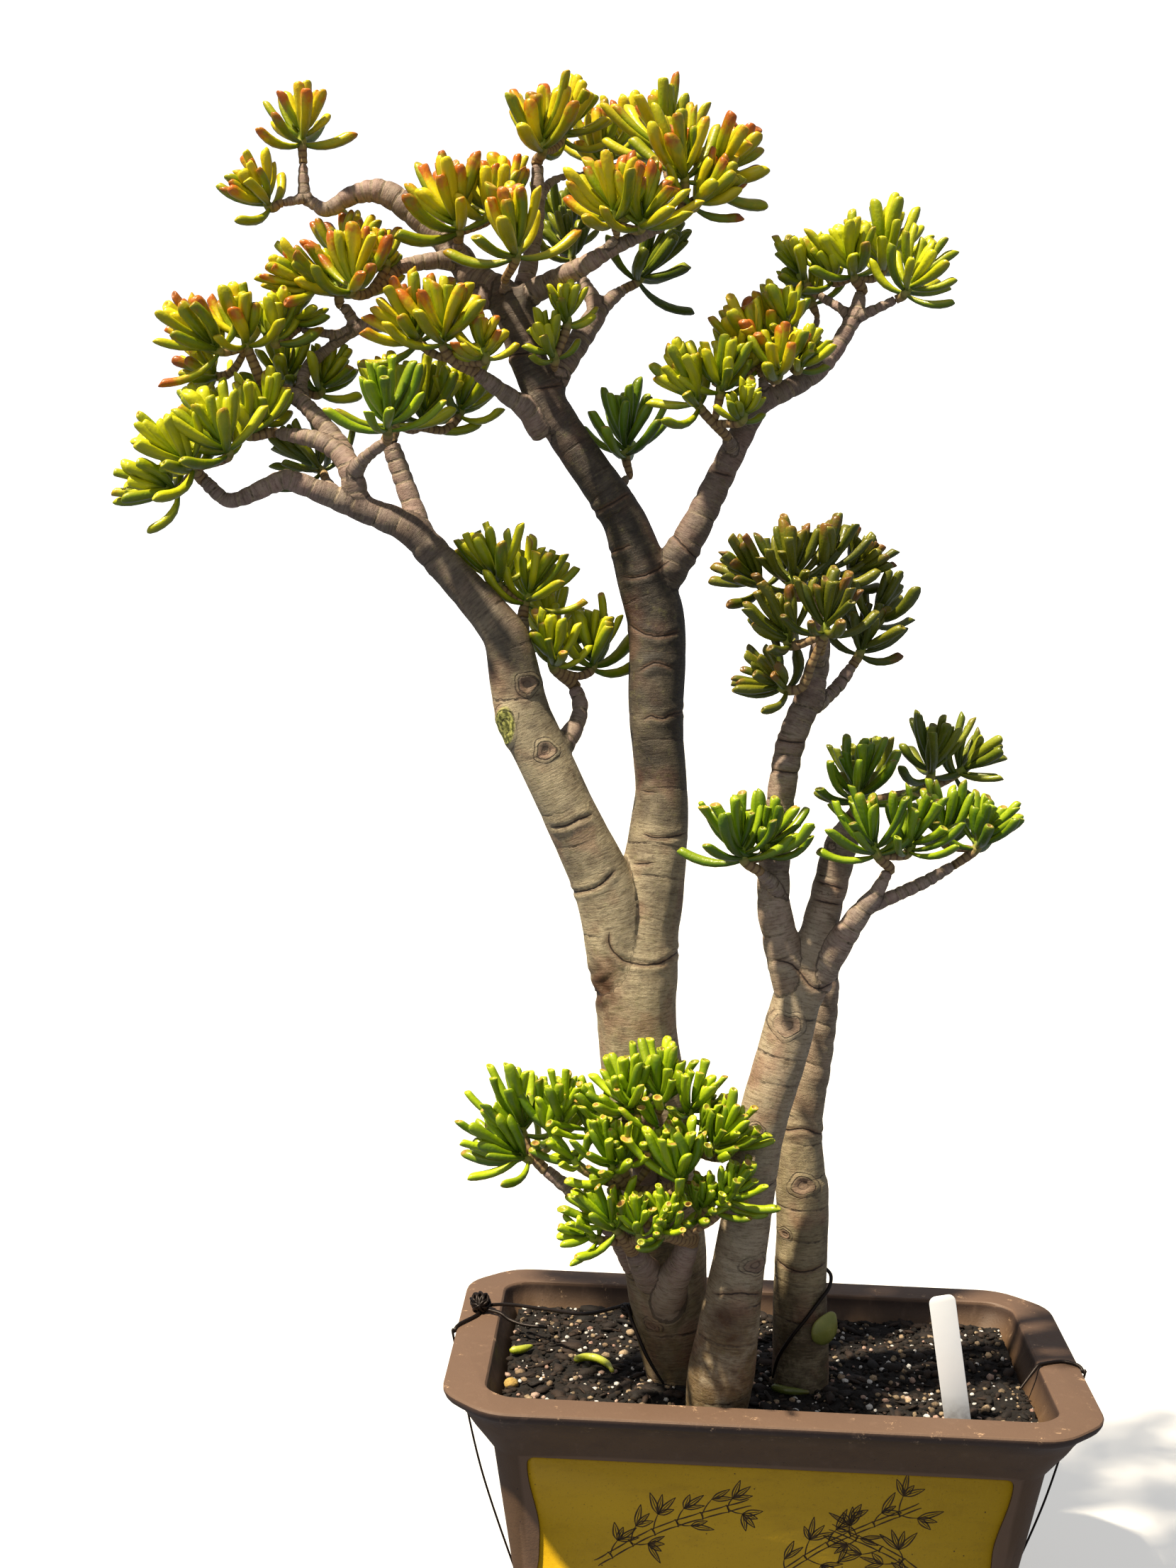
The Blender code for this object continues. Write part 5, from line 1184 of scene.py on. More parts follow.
def bamboo_leaf(heap, root, angle, length, wide, at):
    """A leaf drawn as two bowed lines and a midrib."""
    root = np.array(root, float)
    way = np.array([math.cos(angle), math.sin(angle)])
    off = np.array([-way[1], way[0]])
    for bow in (-wide, wide):
        low, high = root + way * length * 0.33 + off * bow, root + way * length * 0.7 + off * bow * 0.72
        stroke(heap, [root, low, high, root + way * length], 1.1, at)
    stroke(heap, [root + way * length * 0.1, root + way * length * 0.5, root + way * length * 0.8], 0.7, at)


def make_drawing(side, ink):
    """Canes that lean across the panel, each with joints and sprays of leaves."""
    rng = random.Random(SEED + 3 * side)
    at = wall_frame(side, -PANEL["depth"] + 0.55)
    heap = Heap()
    for start, bend, end, wide in CANES:
        line = smooth_route([start, bend, end], 2.0)
        direction = unit(np.gradient(line, axis=0))
        across = np.stack([-direction[:, 1], direction[:, 0]], -1)
        joints = list(range(6, len(line) - 4, 9))
        for sign in (-1, 1):
            last = 0
            for joint in joints + [len(line) - 1]:
                part = np.arange(last, joint + 1)
                if len(part) > 2:
                    swell = 1 + 0.22 * np.abs(np.linspace(-1, 1, len(part))) ** 4
                    stroke(heap, line[part] + across[part] * sign * wide / 2 * swell[:, None], 1.2, at)
                last = joint
        for number, joint in enumerate(joints):
            p, n, d = line[joint], across[joint], direction[joint]
            stroke(heap, [p - n * wide * 0.75, p + d * 0.8, p + n * wide * 0.75], 1.3, at)
            for turn in ((1, -1) if number % 2 else (1,)):
                way = math.atan2(d[1], d[0]) + turn * rng.uniform(0.5, 1.1)
                twig = p + np.array([math.cos(way), math.sin(way)]) * rng.uniform(8, 15)
                stroke(heap, [p, (p + twig) / 2 + n * turn, twig], 1.0, at)
                for spread in (-0.75, -0.25, 0.3, 0.8)[:rng.randint(2, 4)]:
                    length, broad = rng.uniform(11, 19), rng.uniform(1.4, 2.1)
                    bamboo_leaf(heap, twig, way + spread * turn - 0.25, length, broad, at)
    obj = heap.piece("bamboo_drawing_" + ("front" if side > 0 else "back"), ink, smooth=False)
    return settle(obj, "pot_clay")


# ---------------------------------------------------------------- finished soil

def soil_height(x, y):
    """Lumpy, a little lower at the walls and heaped round the trunks."""
    lumps = 1.5 * np.sin(x / 17 + 1.3) * np.cos(y / 13) + 1.1 * np.sin(x / 41 - y / 23 + 0.6)
    heap = 4.5 * np.exp(-((x + 20) ** 2 / 90 ** 2 + (y + 45) ** 2 / 60 ** 2))
    wall = 3.0 * np.maximum(0, (np.abs(x) - 150) / 45) ** 2 + 2.0 * np.maximum(0, (np.abs(y) - 80) / 30) ** 2
    return SOIL_TOP + lumps + heap - wall


def inside_pot(x, y, margin):
    """Whether a place lies inside the rim by at least the margin."""
    half_x, half_y, clip = SOIL_HALF[0] - margin, SOIL_HALF[1] - margin, SOIL_HALF[2]
    return (np.abs(x) < half_x) & (np.abs(y) < half_y) & (np.abs(x) + np.abs(y) < half_x + half_y - clip)


def bare_spots():
    """(x, y, radius) of each trunk where it enters the soil, and of each point of the shed leaves."""
    spots = []
    for branches in TREES.values():
        route = smooth_route(next(iter(branches.values())), 5)
        at = route[np.abs(route[:, 2] - SOIL_TOP).argmin()]
        spots.append((at[0], at[1], at[3]))
    return spots + [(x, y, BARE) for leaf in FALLEN for x, y in leaf]


def make_soil(earth):
    """The soil's crumbly top over its whole depth."""
    def close(work):
        """The top's edge drawn down and in to a flat bottom."""
        edge = [e for e in work.edges if len(e.link_faces) == 1]
        for item in bmesh.ops.extrude_edge_only(work, edges=edge)["geom"]:
            if isinstance(item, bmesh.types.BMVert):
                item.co.x *= 0.86
                item.co.y *= 0.76
                item.co.z = (SOIL_FLOOR + 2) * MM
        bmesh.ops.contextual_create(work, geom=[e for e in work.edges if len(e.link_faces) == 1])

    spans = [np.arange(-half - 3, half + 3.1, SOIL_STEP) for half in SOIL_HALF[:2]]
    gx, gy = np.meshgrid(*spans, indexing="ij")
    rough = np.random.default_rng(SEED).normal(0, 1, gx.shape)
    rough = (rough + np.roll(rough, 1, 0) + np.roll(rough, 1, 1) + np.roll(rough, (1, 1), (0, 1))) / 2
    z = soil_height(gx, gy) - 1.2 + 0.75 * rough
    points = np.stack([gx, gy, z], -1).reshape(-1, 3)
    number = np.arange(gx.size).reshape(gx.shape)
    quads = np.stack([number[:-1, :-1], number[1:, :-1], number[1:, 1:], number[:-1, 1:]], -1).reshape(-1, 4)
    quads = quads[inside_pot(gx, gy, 0.5).ravel()[quads].all(1)]
    used = np.unique(quads)
    lookup = np.full(gx.size, -1)
    lookup[used] = np.arange(len(used))
    settle(reworked(mesh_piece("soil_top", points[used], lookup[quads], earth), close), "soil", "soil")


def stone_shape(level):
    """An icosphere's points and triangles."""
    work = bmesh.new()
    bmesh.ops.create_icosphere(work, subdivisions=level, radius=1)
    points = np.array([v.co[:] for v in work.verts])
    tris = np.array([[v.index for v in f.verts] for f in work.faces])
    work.free()
    return points, tris


def scatter(name, count, size, flatness, made, seed, level=1, long=1.3, at=None):
    """Loose grains of one kind lying on the soil, each with its own size, turn and tint."""
    rng = np.random.default_rng(seed)
    shape, tris = stone_shape(level)
    spots = bare_spots()
    heap, placed = Heap(), 0
    while placed < count:
        x, y = at or (rng.uniform(-186, 186), rng.uniform(-105, 105))
        if not inside_pot(x, y, size[1] * 0.7) or any(np.hypot(x - a, y - b) < r for a, b, r in spots):
            continue
        r = size[0] + (size[1] - size[0]) * rng.random() ** 2.2
        form = shape * rng.uniform(0.78, 1.15, (len(shape), 1))
        form = form * (rng.uniform(0.8, long), rng.uniform(0.75, 1.1), rng.uniform(*flatness)) * r
        turn = Matrix.Rotation(rng.uniform(0, 6.28), 3, "Z") @ Matrix.Rotation(rng.normal(0, 0.35), 3, "X")
        form = form @ np.array(turn).T
        form = form + (x, y, soil_height(x, y) - 1.4 - 0.64 * form[:, 2].min())
        heap.put(form, tris=tris, tint=rng.random())
        placed += 1
    settle(heap.piece(name, made, False), "soil")


# ---------------------------------------------------------------- small pieces

def knot_points(middle, size, turns, rng):
    """A tangle of wire wound round itself."""
    out = []
    for k in range(turns * 9):
        a, tilt = k * 2 * math.pi / 9, k * 0.31
        way = np.array([math.cos(a) * math.cos(tilt), math.sin(a), math.cos(a) * math.sin(tilt)])
        out.append(np.array(middle) + way * size * rng.uniform(0.8, 1.05))
    return out


def make_wires(iron):
    """The tie wire with its two tangles and its loose end, and the wire looped round the rear trunk."""
    def wire(heap, points, radius, sides=10, step=3.0, thin=0):
        """A wire, of a smaller radius where it hangs below the rim if thin is given."""
        route = smooth_route([(*p, thin if thin and p[2] < 212 else radius) for p in points], step)
        heap.put(*tube_parts(route, sides))

    rng = random.Random(SEED)
    tie, loop = Heap(), Heap()
    wire(tie, TIE_WIRE, WIRE_SEEN, thin=WIRE_THIN)
    for knot in TIE_KNOTS:
        wire(tie, knot_points(*knot, rng), WIRE_SEEN * 0.9, 8, 1.6)
    wire(tie, TIE_END, WIRE_SEEN)
    settle(tie.piece("tie_wire_finished", iron), "wire", "tie_wire")
    wire(loop, LOOP_WIRE, WIRE_SEEN, thin=WIRE_THIN)
    settle(loop.piece("loop_wire_finished", iron), "wire", "loop_wire")


def make_label(plastic):
    """The bare plant label: a thin stake with rounded upper corners, leaning in the soil."""
    foot, top, wide, thick = LABEL
    foot, top = Vector(foot), Vector(top)
    up = (top - foot).normalized()
    across = Vector((1, 0.05, 0))
    across = (across - up * across.dot(up)).normalized()
    turned = Matrix((across, up.cross(across), up)).transposed()
    tall, half, corner = (top - foot).length, wide / 2, 5
    edge = [(-half, -tall / 2), (half, -tall / 2)]
    for sign, start in ((1, 0), (-1, 90)):
        for k in range(9):
            a = math.radians(start + 11.25 * k)
            edge.append((sign * (half - corner) + corner * math.cos(a),
                         tall / 2 - corner + corner * math.sin(a)))
    at = Matrix.Translation((foot + top) / 2) @ turned.to_4x4() @ Matrix.Rotation(math.pi / 2, 4, "X")
    obj = slab("label_stake", edge, -thick / 2, thick / 2, at, plastic)
    soft = obj.modifiers.new("moulded_edge", "BEVEL")
    soft.width, soft.segments, soft.limit_method = 0.3 * MM, 2, "ANGLE"
    settle(evaluated(obj), "label", "plant_label")


def make_fallen(number, points, made):
    """A shed leaf on the soil: a finger with one cup end and one narrow end."""
    low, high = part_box(f"fallen_leaf_{number}")
    flat = smooth_route([(x, y, 0, 9) for x, y in points], 2.0)[:, :2]
    t = np.linspace(0, 1, len(flat))
    radius = FALLEN_RADIUS * (0.55 + 0.45 * np.sin(math.pi * np.minimum(1, 0.15 + t)) ** 0.6)
    radius[0] *= 0.4
    radius[-1] *= 0.6
    z, sides, heap = (low.z + high.z) / 2 / MM, 14, Heap()
    route = np.column_stack([flat, np.full(len(flat), z), radius * 0.94])
    along = np.append(np.repeat(t, sides), [0, 1])
    heap.put(*tube_parts(route, sides), along=along, cup=0.0, tint=0.3 * number, sun=0.4)
    settle(heap.piece(f"shed_leaf_{number}", made), "leaf_fallen", f"fallen_leaf_{number}")


def make_tucked(made):
    """The broad leaf beside the rear trunk: an oval blade, thick at its middle, thin at its edge."""
    low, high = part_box("tucked_leaf")
    turned = (Matrix.Translation((low + high) / 2 / MM) @ Matrix.Rotation(math.radians(25), 4, "Z")
              @ Matrix.Rotation(math.radians(28), 4, "Y"))
    half_x, half_y, half_z = TUCKED_HALF
    rows, sides, points, along = 15, 18, [], []
    for k in range(rows):
        t = math.pi * (k + 0.4) / (rows - 0.2)
        ring = math.sin(t) ** 0.8 * (0.94 + 0.22 * math.cos(t) - 0.08 * math.sin(3 * t))
        for j in range(sides):
            a = 2 * math.pi * j / sides
            dip = 1 - 0.22 * math.cos(a) ** 8
            points.append((half_x * ring * math.cos(a), half_y * ring * math.sin(a) * dip,
                           half_z * -math.cos(t)))
            along.append(k / rows)
    points = np.array([turned @ Vector(p) for p in points + [(0, 0, -half_z), (0, 0, half_z)]])
    k, last = np.arange(sides), (rows - 1) * sides
    tris = np.vstack([np.stack([(k + 1) % sides, k, np.full(sides, rows * sides)], -1),
                      np.stack([last + k, last + (k + 1) % sides, np.full(sides, rows * sides + 1)], -1)])
    heap = Heap()
    along = np.array(along + [0, 1])
    heap.put(points, grid_faces(rows, sides), tris, along=along, cup=0.0, tint=0.8, sun=0.3)
    settle(heap.piece("broad_leaf", made), "leaf_fallen", "tucked_leaf")


# ---------------------------------------------------------------- finishes

def leaf_skin(name, colours, blush_from=1.22):
    """Succulent leaf: a smooth waxy skin over wet flesh. It shines softly, blushes towards its cup
    and shows faint pale dots. Light and shade are painted on: paler on the side towards the key lamp, dark
    green on the side turned from it, darker at the root, and each leaf darker or brighter by its sun value."""
    made, tree, shader, place = start_material(name, 0.34, Coat_Weight=0.24, Coat_Roughness=0.08, IOR=1.45)
    root, body, sunlit, pale, tip, cup = colours
    along, tint, sun, open_cup = [add(tree, "Attribute", out="Fac", attribute_name=key)
                                  for key in ("along", "tint", "sun", "cup")]
    mottled = add(tree, "TexNoise", patches(7, place, 2))
    warm = add(tree, "Math", {0: sun, 1: mottled}, operation="ADD")
    warm = add(tree, "Math", {0: along, 1: 0.35, 2: warm}, operation="MULTIPLY_ADD")
    warm = add(tree, "MapRange", {0: warm, 1: 0.85, 2: 1.6})
    skin = coat(tree, body, sunlit, warm)
    # The root is the leaf's own greener base, made darker as painted shade deep inside the head.
    skin = coat(tree, skin, root, along, ((0.05, 1.0), (0.5, 0.0)))
    normal = add(tree, "NewGeometry", out="Normal")
    # Painted light: paler where the leaf faces the key lamp. Painted shade: dark green where it faces away.
    facing = add(tree, "VectorMath", {0: normal, 1: SUNWARD}, "Value", operation="DOT_PRODUCT")
    skin = coat(tree, skin, pale, facing, ((0.25, 0.0), (0.95, 0.55)))
    painted_shade_away = add(tree, "MapRange", {0: facing, 1: -0.7, 2: 0.1, 3: 0.55, 4: 0.0})
    skin = coat(tree, skin, "#39480a", painted_shade_away)
    edge = add(tree, "Math", {0: tint, 1: 0.62, 2: -0.31}, operation="MULTIPLY_ADD")
    edge = add(tree, "Math", {0: along, 1: edge}, operation="ADD")
    uneven = add(tree, "TexNoise", patches(5, place, 2))
    edge = add(tree, "Math", {0: uneven, 1: 0.5, 2: edge}, operation="MULTIPLY_ADD")
    blush = add(tree, "MapRange", {0: edge, 1: blush_from, 2: blush_from + 0.34, 4: 0.95},
                interpolation_type="SMOOTHSTEP")
    skin = coat(tree, skin, tip, blush)
    skin = coat(tree, skin, cup, tint, ((0.35, 0.3), (0.75, 1.0)), (open_cup,))
    dots = add(tree, "TexNoise", patches(0.9, place, 1))
    skin = coat(tree, skin, "#cfc450", dots, ((0.62, 0.0), (0.72, 0.14)))
    # Painted light and shade: each leaf is made darker or brighter by its sun value.
    shade = add(tree, "MapRange", {0: sun, 3: 0.64, 4: 1.16})
    skin = add(tree, "HueSaturation", {"Color": skin, "Value": shade})
    wrinkles = add(tree, "TexNoise", patches(2.2, place))
    dress(tree, shader, skin, [(wrinkles, 0.35)], (mottled, 0.24, 0.46))
    return made


def thin_line(tree, away, half, soft):
    """1 within half of a line, by the signed distance away from it, fading to 0 over the next soft."""
    away = add(tree, "Math", {0: away}, operation="ABSOLUTE")
    return add(tree, "MapRange", {0: away, 1: half, 2: half + soft, 3: 1.0, 4: 0.0})


def wavering(tree, value, amount, wander):
    """A value pushed about by up to amount each way with the noise wander."""
    shift = add(tree, "Math", {0: wander, 1: 2 * amount, 2: -amount}, operation="MULTIPLY_ADD")
    return add(tree, "Math", {0: value, 1: shift}, operation="ADD")


def bark_skin(name, old, grey, pale, low="#6a5430"):
    """Jade bark: a thin papery skin. Old wood is smooth and tan with fine lines round it, younger wood is
    greyer, and twigs are red-brown with cream ring scars."""
    made, tree, shader, _ = start_material(name, 0.62)
    grain = add(tree, "Attribute", out="Vector", attribute_name="grain")
    age, high, scar, spacing, scarred, knot, knot_size, stain, fresh, crease, creased = [
        add(tree, "Attribute", out="Fac", attribute_name=key) for key in (
            "age", "high", "scar", "spacing", "scarred", "knot", "knot_size", "stain", "fresh", "crease",
            "creased")]
    stretched = add(tree, "Mapping", {"Vector": grain, "Scale": (1, 1, 7)})
    fibres, broad, patch, wander, fleck, blotch, rust, lichen, split, crumple = [
        add(tree, "TexNoise", patches(*kind)) for kind in (
            (9, stretched, 7, 0.75), (38, grain), (13, grain, 5, 0.68), (5, grain), (2.2, grain, 4, 0.7),
            (24, grain, 6, 0.75), (30, grain, 2), (5, grain, 4, 0.7), (3, grain, 5), (9, grain, 7, 0.68))]

    # Tan, grey and red-brown by height and age, with patches, flecks and fibres, and painted shade on high old
    # wood.
    level = add(tree, "Math", {0: broad, 1: 0.30, 2: -0.15}, operation="MULTIPLY_ADD")
    level = add(tree, "Math", {0: high, 1: level}, operation="ADD")
    wood = coat(tree, old, grey, level, ((0.54, 0.0), (0.70, 1.0)))
    # Darker towards the trunk's foot; the rear tree's darker foot is painted shade.
    wood = coat(tree, wood, low, level, ((0.24, 0.85), (0.33, 0.0)))
    twig = coat(tree, "#8c7264", "#c6a99d", patch)
    twig = coat(tree, twig, "#8a7d72", broad, ((0.42, 0.0), (0.6, 0.7)))
    wood = coat(tree, twig, wood, age)
    wood = coat(tree, wood, pale, patch, ((0.46, 0.0), (0.72, 0.7)))
    wood = coat(tree, wood, "#54402f", blotch, ((0.50, 0.0), (0.70, 0.62)))
    wood = coat(tree, wood, "#96604c", rust, ((0.52, 0.0), (0.66, 0.35)), (age,))
    wood = coat(tree, wood, "#8d7a66", fibres, ((0.38, 0.60), (0.52, 0.0)), blend="MULTIPLY")
    wood = coat(tree, wood, "#c9b89a", fibres, ((0.56, 0.0), (0.74, 0.45)))
    wood = coat(tree, wood, "#5c4a38", fleck, ((0.58, 0.0), (0.70, 0.5)))
    # Painted shade: old wood is darkened from partway up, where the crown shades it.
    wood = coat(tree, wood, "#a3a09e", level, ((0.55, 0.0), (0.66, 0.85)), (age,), blend="MULTIPLY")
    wood = coat(tree, wood, "#7d7a4a", lichen, ((0.56, 0.0), (0.70, 0.35)))

    # Ring scars: a dark groove, edged with cream on young wood.
    scar = wavering(tree, scar, 0.05, wander)
    scar = add(tree, "Math", {0: scar, 1: 0.5}, operation="ADD")
    scar = add(tree, "Math", {0: scar}, operation="FRACT")
    scar = add(tree, "Math", {0: scar, 1: -0.5}, operation="ADD")
    scar = add(tree, "Math", {0: scar, 1: spacing}, operation="MULTIPLY")
    cream = thin_line(tree, scar, 0.7, 0.5)
    wood = coat(tree, wood, "#c6b293", age, ((0.15, 0.85), (0.8, 0.0)), (cream, scarred))
    groove = share(tree, wander, ((0.4, 0.35), (0.6, 0.9)), (scarred, thin_line(tree, scar, 0.45, 0.6)))
    wood = coat(tree, wood, "#382a20", groove)

    # Stains, knots with curled wrinkles, the fresh cut and the creases.
    flaking = share(tree, patch, ((0.35, 0.4), (0.55, 0.95)))
    wood = coat(tree, wood, "#4e2f15", stain, ((0.1, 0.0), (0.9, 1.0)), (flaking,))
    heart = coat(tree, "#5e4a3e", "#a3806c", fibres)
    worn = share(tree, patch, ((0.3, 0.35), (0.65, 0.8)))
    wood = coat(tree, wood, heart, knot, ((0.9, 1.0), (1.3, 0.0)), (worn,))
    wrinkles = 0.0
    for radius, strength in ((0.45, 0.6), (1.02, 0.9), (1.45, 0.7)):
        away = add(tree, "Math", {0: knot, 1: -radius}, operation="ADD")
        away = add(tree, "Math", {0: away, 1: knot_size}, operation="MULTIPLY")
        line = thin_line(tree, wavering(tree, away, 0.9, wander), 0.22, 0.4)
        curl = share(tree, patch, ((0.40, 0.2), (0.52, strength)), (line,))
        wrinkles = add(tree, "Math", {0: wrinkles, 1: curl}, operation="MAXIMUM")
    green = coat(tree, "#565a1c", "#c4c46a", split, ((0.42, 0.0), (0.58, 1.0)))
    wood = coat(tree, wood, green, fresh, ((0.3, 0.0), (0.6, 1.0)))
    away = wavering(tree, crease, 0.9, wander)
    deep = share(tree, creased, by=(thin_line(tree, away, 0.28, 0.45),))
    deep = add(tree, "Math", {0: deep, 1: wrinkles}, operation="MAXIMUM")
    wood = coat(tree, wood, "#7a5a44", creased, (), (thin_line(tree, away, 1.0, 1.6), 0.45))
    wood = coat(tree, wood, "#2c1e15", deep, (), (0.9,))
    cuts = add(tree, "Math", {0: deep, 1: groove}, operation="MAXIMUM")
    proud = add(tree, "Math", {0: 1.0, 1: cuts}, operation="SUBTRACT")
    dress(tree, shader, wood, [(fibres, 0.6), (crumple, 1.1), (proud, 0.5)], (patch, 0.42, 0.75))
    return made


def shoot_skin(name):
    """Young shoot: tan and ringed where it is woody, green at its growing tip."""
    made, tree, shader, place = start_material(name, 0.6)
    run, left = [add(tree, "Attribute", out="Fac", attribute_name=key) for key in ("run", "left")]
    rings = add(tree, "Math", {0: run, 1: 2 * math.pi / (SHOOT_RINGS * MM)}, operation="MULTIPLY")
    rings = add(tree, "Math", {0: rings}, operation="SINE")
    rings = add(tree, "MapRange", {0: rings, 1: -0.8, 2: -0.3, 3: 0.7, 4: 0.0})
    wood = coat(tree, "#86643f", "#b39a6c", add(tree, "TexNoise", patches(5, place)))
    wood = coat(tree, wood, "#5a3d28", rings)
    green = coat(tree, "#7f9a2a", "#a3ab3c", add(tree, "TexNoise", patches(3, place)))
    tone = coat(tree, green, wood, left, ((0.15, 0.0), (0.6, 1.0)))
    dress(tree, shader, tone, [(add(tree, "TexNoise", patches(2, place, 4)), 0.5)])
    return made


def stoneware(name):
    """Unglazed stoneware: brown clay, pressed and burnished, matt, with pale scuffs on the rim and fine grit
    under the skin. The rim's top and the wall take two tones of the one clay, set by how each is lit: painted
    light and shade."""
    made, tree, shader, place = start_material(name, 0.62)
    wide, middling, cloud, scuffs, grit, dents, polish = [add(tree, "TexNoise", patches(*kind)) for kind in (
        (60, place, 4), (45, place, 4), (16, place, 6, 0.7), (15, place, 8, 0.85), (1.6, place, 4),
        (28, place, 4), (20, place, 4))]
    lip = add(tree, "MapRange", {0: add(tree, "SeparateXYZ", {0: place}, "Z"), 1: 0.196, 2: 0.211})
    # Painted light and shade: one clay in two tones by height, the rim's top darker than the wall below it.
    wall, rim = coat(tree, "#5c4530", "#6a5139", wide), coat(tree, "#3a2b25", "#47362c", middling)
    clay = coat(tree, wall, rim, lip)
    clay = coat(tree, clay, "#46342a", cloud, ((0.5, 0.0), (0.8, 0.5)))
    drawn = add(tree, "Mapping", {"Vector": place, "Scale": (1, 1, 0.25)})
    streaks = add(tree, "TexNoise", patches(9, drawn, 5))
    clay = coat(tree, clay, "#8a7260", streaks, ((0.58, 0.0), (0.75, 0.22)))
    clay = coat(tree, clay, "#d3b08c", scuffs, ((0.60, 0.0), (0.65, 0.9)), (lip,))
    specks = add(tree, "TexVoronoi", {"Vector": place, "Scale": per(9)})
    clay = coat(tree, clay, "#33241d", specks, ((0.04, 0.8), (0.08, 0.0)))
    edges = add(tree, "NewGeometry", out="Pointiness")
    clay = coat(tree, clay, "#8f725c", edges, ((0.54, 0.0), (0.62, 0.4)))
    dress(tree, shader, clay, [(grit, 0.18), (dents, 0.8)], (polish, 0.48, 0.75))
    return made


def ochre_slip(name):
    """Ochre slip brushed on clay: satin, uneven in tone, with small dark pits."""
    made, tree, shader, place = start_material(name, 0.5)
    slip = coat(tree, "#dcae0e", "#ecbe14", add(tree, "TexNoise", patches(42, place, 5)))
    brushed = add(tree, "Mapping", {"Vector": place, "Scale": (0.4, 1, 1)})
    strokes = add(tree, "TexNoise", patches(12, brushed, 6, 0.7))
    slip = coat(tree, slip, "#b88e10", strokes, ((0.5, 0.0), (0.8, 0.5)))
    pits = add(tree, "TexVoronoi", {"Vector": place, "Scale": per(12)})
    slip = coat(tree, slip, "#4a3010", pits, ((0.035, 0.9), (0.06, 0.0)))
    specks = add(tree, "TexNoise", patches(1.4, place))
    slip = coat(tree, slip, "#6e4d0e", specks, ((0.60, 0.0), (0.72, 0.35)))
    dress(tree, shader, slip, [(add(tree, "TexNoise", patches(3, place, 5)), 0.25)])
    return made


def slip_ink(name):
    """Dark brown slip drawn with a pen: flat, thin in places."""
    made, tree, shader, place = start_material(name, 0.6)
    thin = add(tree, "TexNoise", patches(4, place, 4))
    ink = coat(tree, "#33220f", "#65480f", thin, ((0.35, 0.0), (0.75, 1.0)))
    dress(tree, shader, ink, [(add(tree, "TexNoise", patches(1.5, place)), 0.1)])
    return made


def grain_skin(name, first, second, roughness, size=1.2, depth=0.4):
    """Loose stone or bark: each grain its own tone between two, rough and dusty."""
    made, tree, shader, place = start_material(name, roughness)
    tone = coat(tree, first, second, add(tree, "Attribute", out="Fac", attribute_name="tint"))
    dust = add(tree, "TexNoise", patches(size, place, 4, 0.7))
    tone = coat(tree, tone, "#1a120d", dust, ((0.35, 0.55), (0.6, 0.0)), blend="MULTIPLY")
    dress(tree, shader, tone, [(add(tree, "TexNoise", patches(size, place, 4)), depth)])
    return made


def peat(name):
    """Damp potting soil: near black, matt, crumbly, with brown fibres."""
    made, tree, shader, place = start_material(name, 0.95)
    tone = coat(tree, "#0b0806", "#2a1f17", add(tree, "TexNoise", patches(4, place, 6, 0.75)))
    crumbs = add(tree, "TexVoronoi", {"Vector": place, "Scale": per(3.2)})
    tone = coat(tree, tone, "#0b0806", crumbs, ((0.25, 0.0), (0.6, 0.8)))
    dress(tree, shader, tone, [(add(tree, "TexNoise", patches(2.4, place, 6, 0.7)), 1.6)])
    return made


def annealed_wire(name):
    """Annealed iron wire, oxidised brown-black, with a dull sheen."""
    made, tree, shader, place = start_material(name, 0.45, Metallic=0.55)
    tone = coat(tree, "#110d0c", "#2a201b", add(tree, "TexNoise", patches(6, place, 4)))
    dress(tree, shader, tone, [(add(tree, "TexNoise", patches(1.2, place)), 0.1)])
    return made


def label_plastic(name):
    """Extruded white polystyrene: smooth, faintly glossy, with a trace of soil at its foot."""
    made, tree, shader, place = start_material(name, 0.32, IOR=1.5)
    height = add(tree, "SeparateXYZ", {0: place}, "Z")
    low = add(tree, "MapRange", {0: height, 1: 0.206, 2: 0.222, 3: 0.85, 4: 0.0})
    white = coat(tree, "#f2f2ee", "#fafaf8", add(tree, "TexNoise", patches(25, place)))
    tone = coat(tree, white, "#6b5a48", low, (), (add(tree, "TexNoise", patches(4, place, 5)),))
    dress(tree, shader, tone, [(add(tree, "TexNoise", patches(8, place, 2)), 0.05)])
    tree.links.new(tone, shader.inputs["Emission Color"])       # painted light: the label glows faintly in its own colour
    shader.inputs["Emission Strength"].default_value = 0.28
    return made


def drain_mesh_plastic(name):
    """Moulded polyethylene mesh: black, matt, dusty."""
    made, tree, shader, place = start_material(name, 0.55)
    dress(tree, shader, coat(tree, "#15171a", "#3a3836", add(tree, "TexNoise", patches(5, place, 4))))
    return made


def plain(name, code, roughness, light):
    """An even colour that glows a little, for the surroundings."""
    tone = colour(code)
    return start_material(name, roughness, Base_Color=tone, Emission_Color=tone, Emission_Strength=light)[0]


# ---------------------------------------------------------------- floor, light and camera

def stage_disc(name, radius, made, dome=False):
    """The floor's disc, or the ball round everything."""
    work = bmesh.new()
    if dome:
        bmesh.ops.create_uvsphere(work, u_segments=48, v_segments=24, radius=radius)
    else:
        bmesh.ops.create_circle(work, cap_ends=True, segments=96, radius=radius)
    mesh = bpy.data.meshes.new(name)
    work.to_mesh(mesh)
    work.free()
    mesh.materials.append(made)
    obj = bpy.data.objects.new(name, mesh)
    bpy.context.scene.collection.objects.link(obj)
    return obj


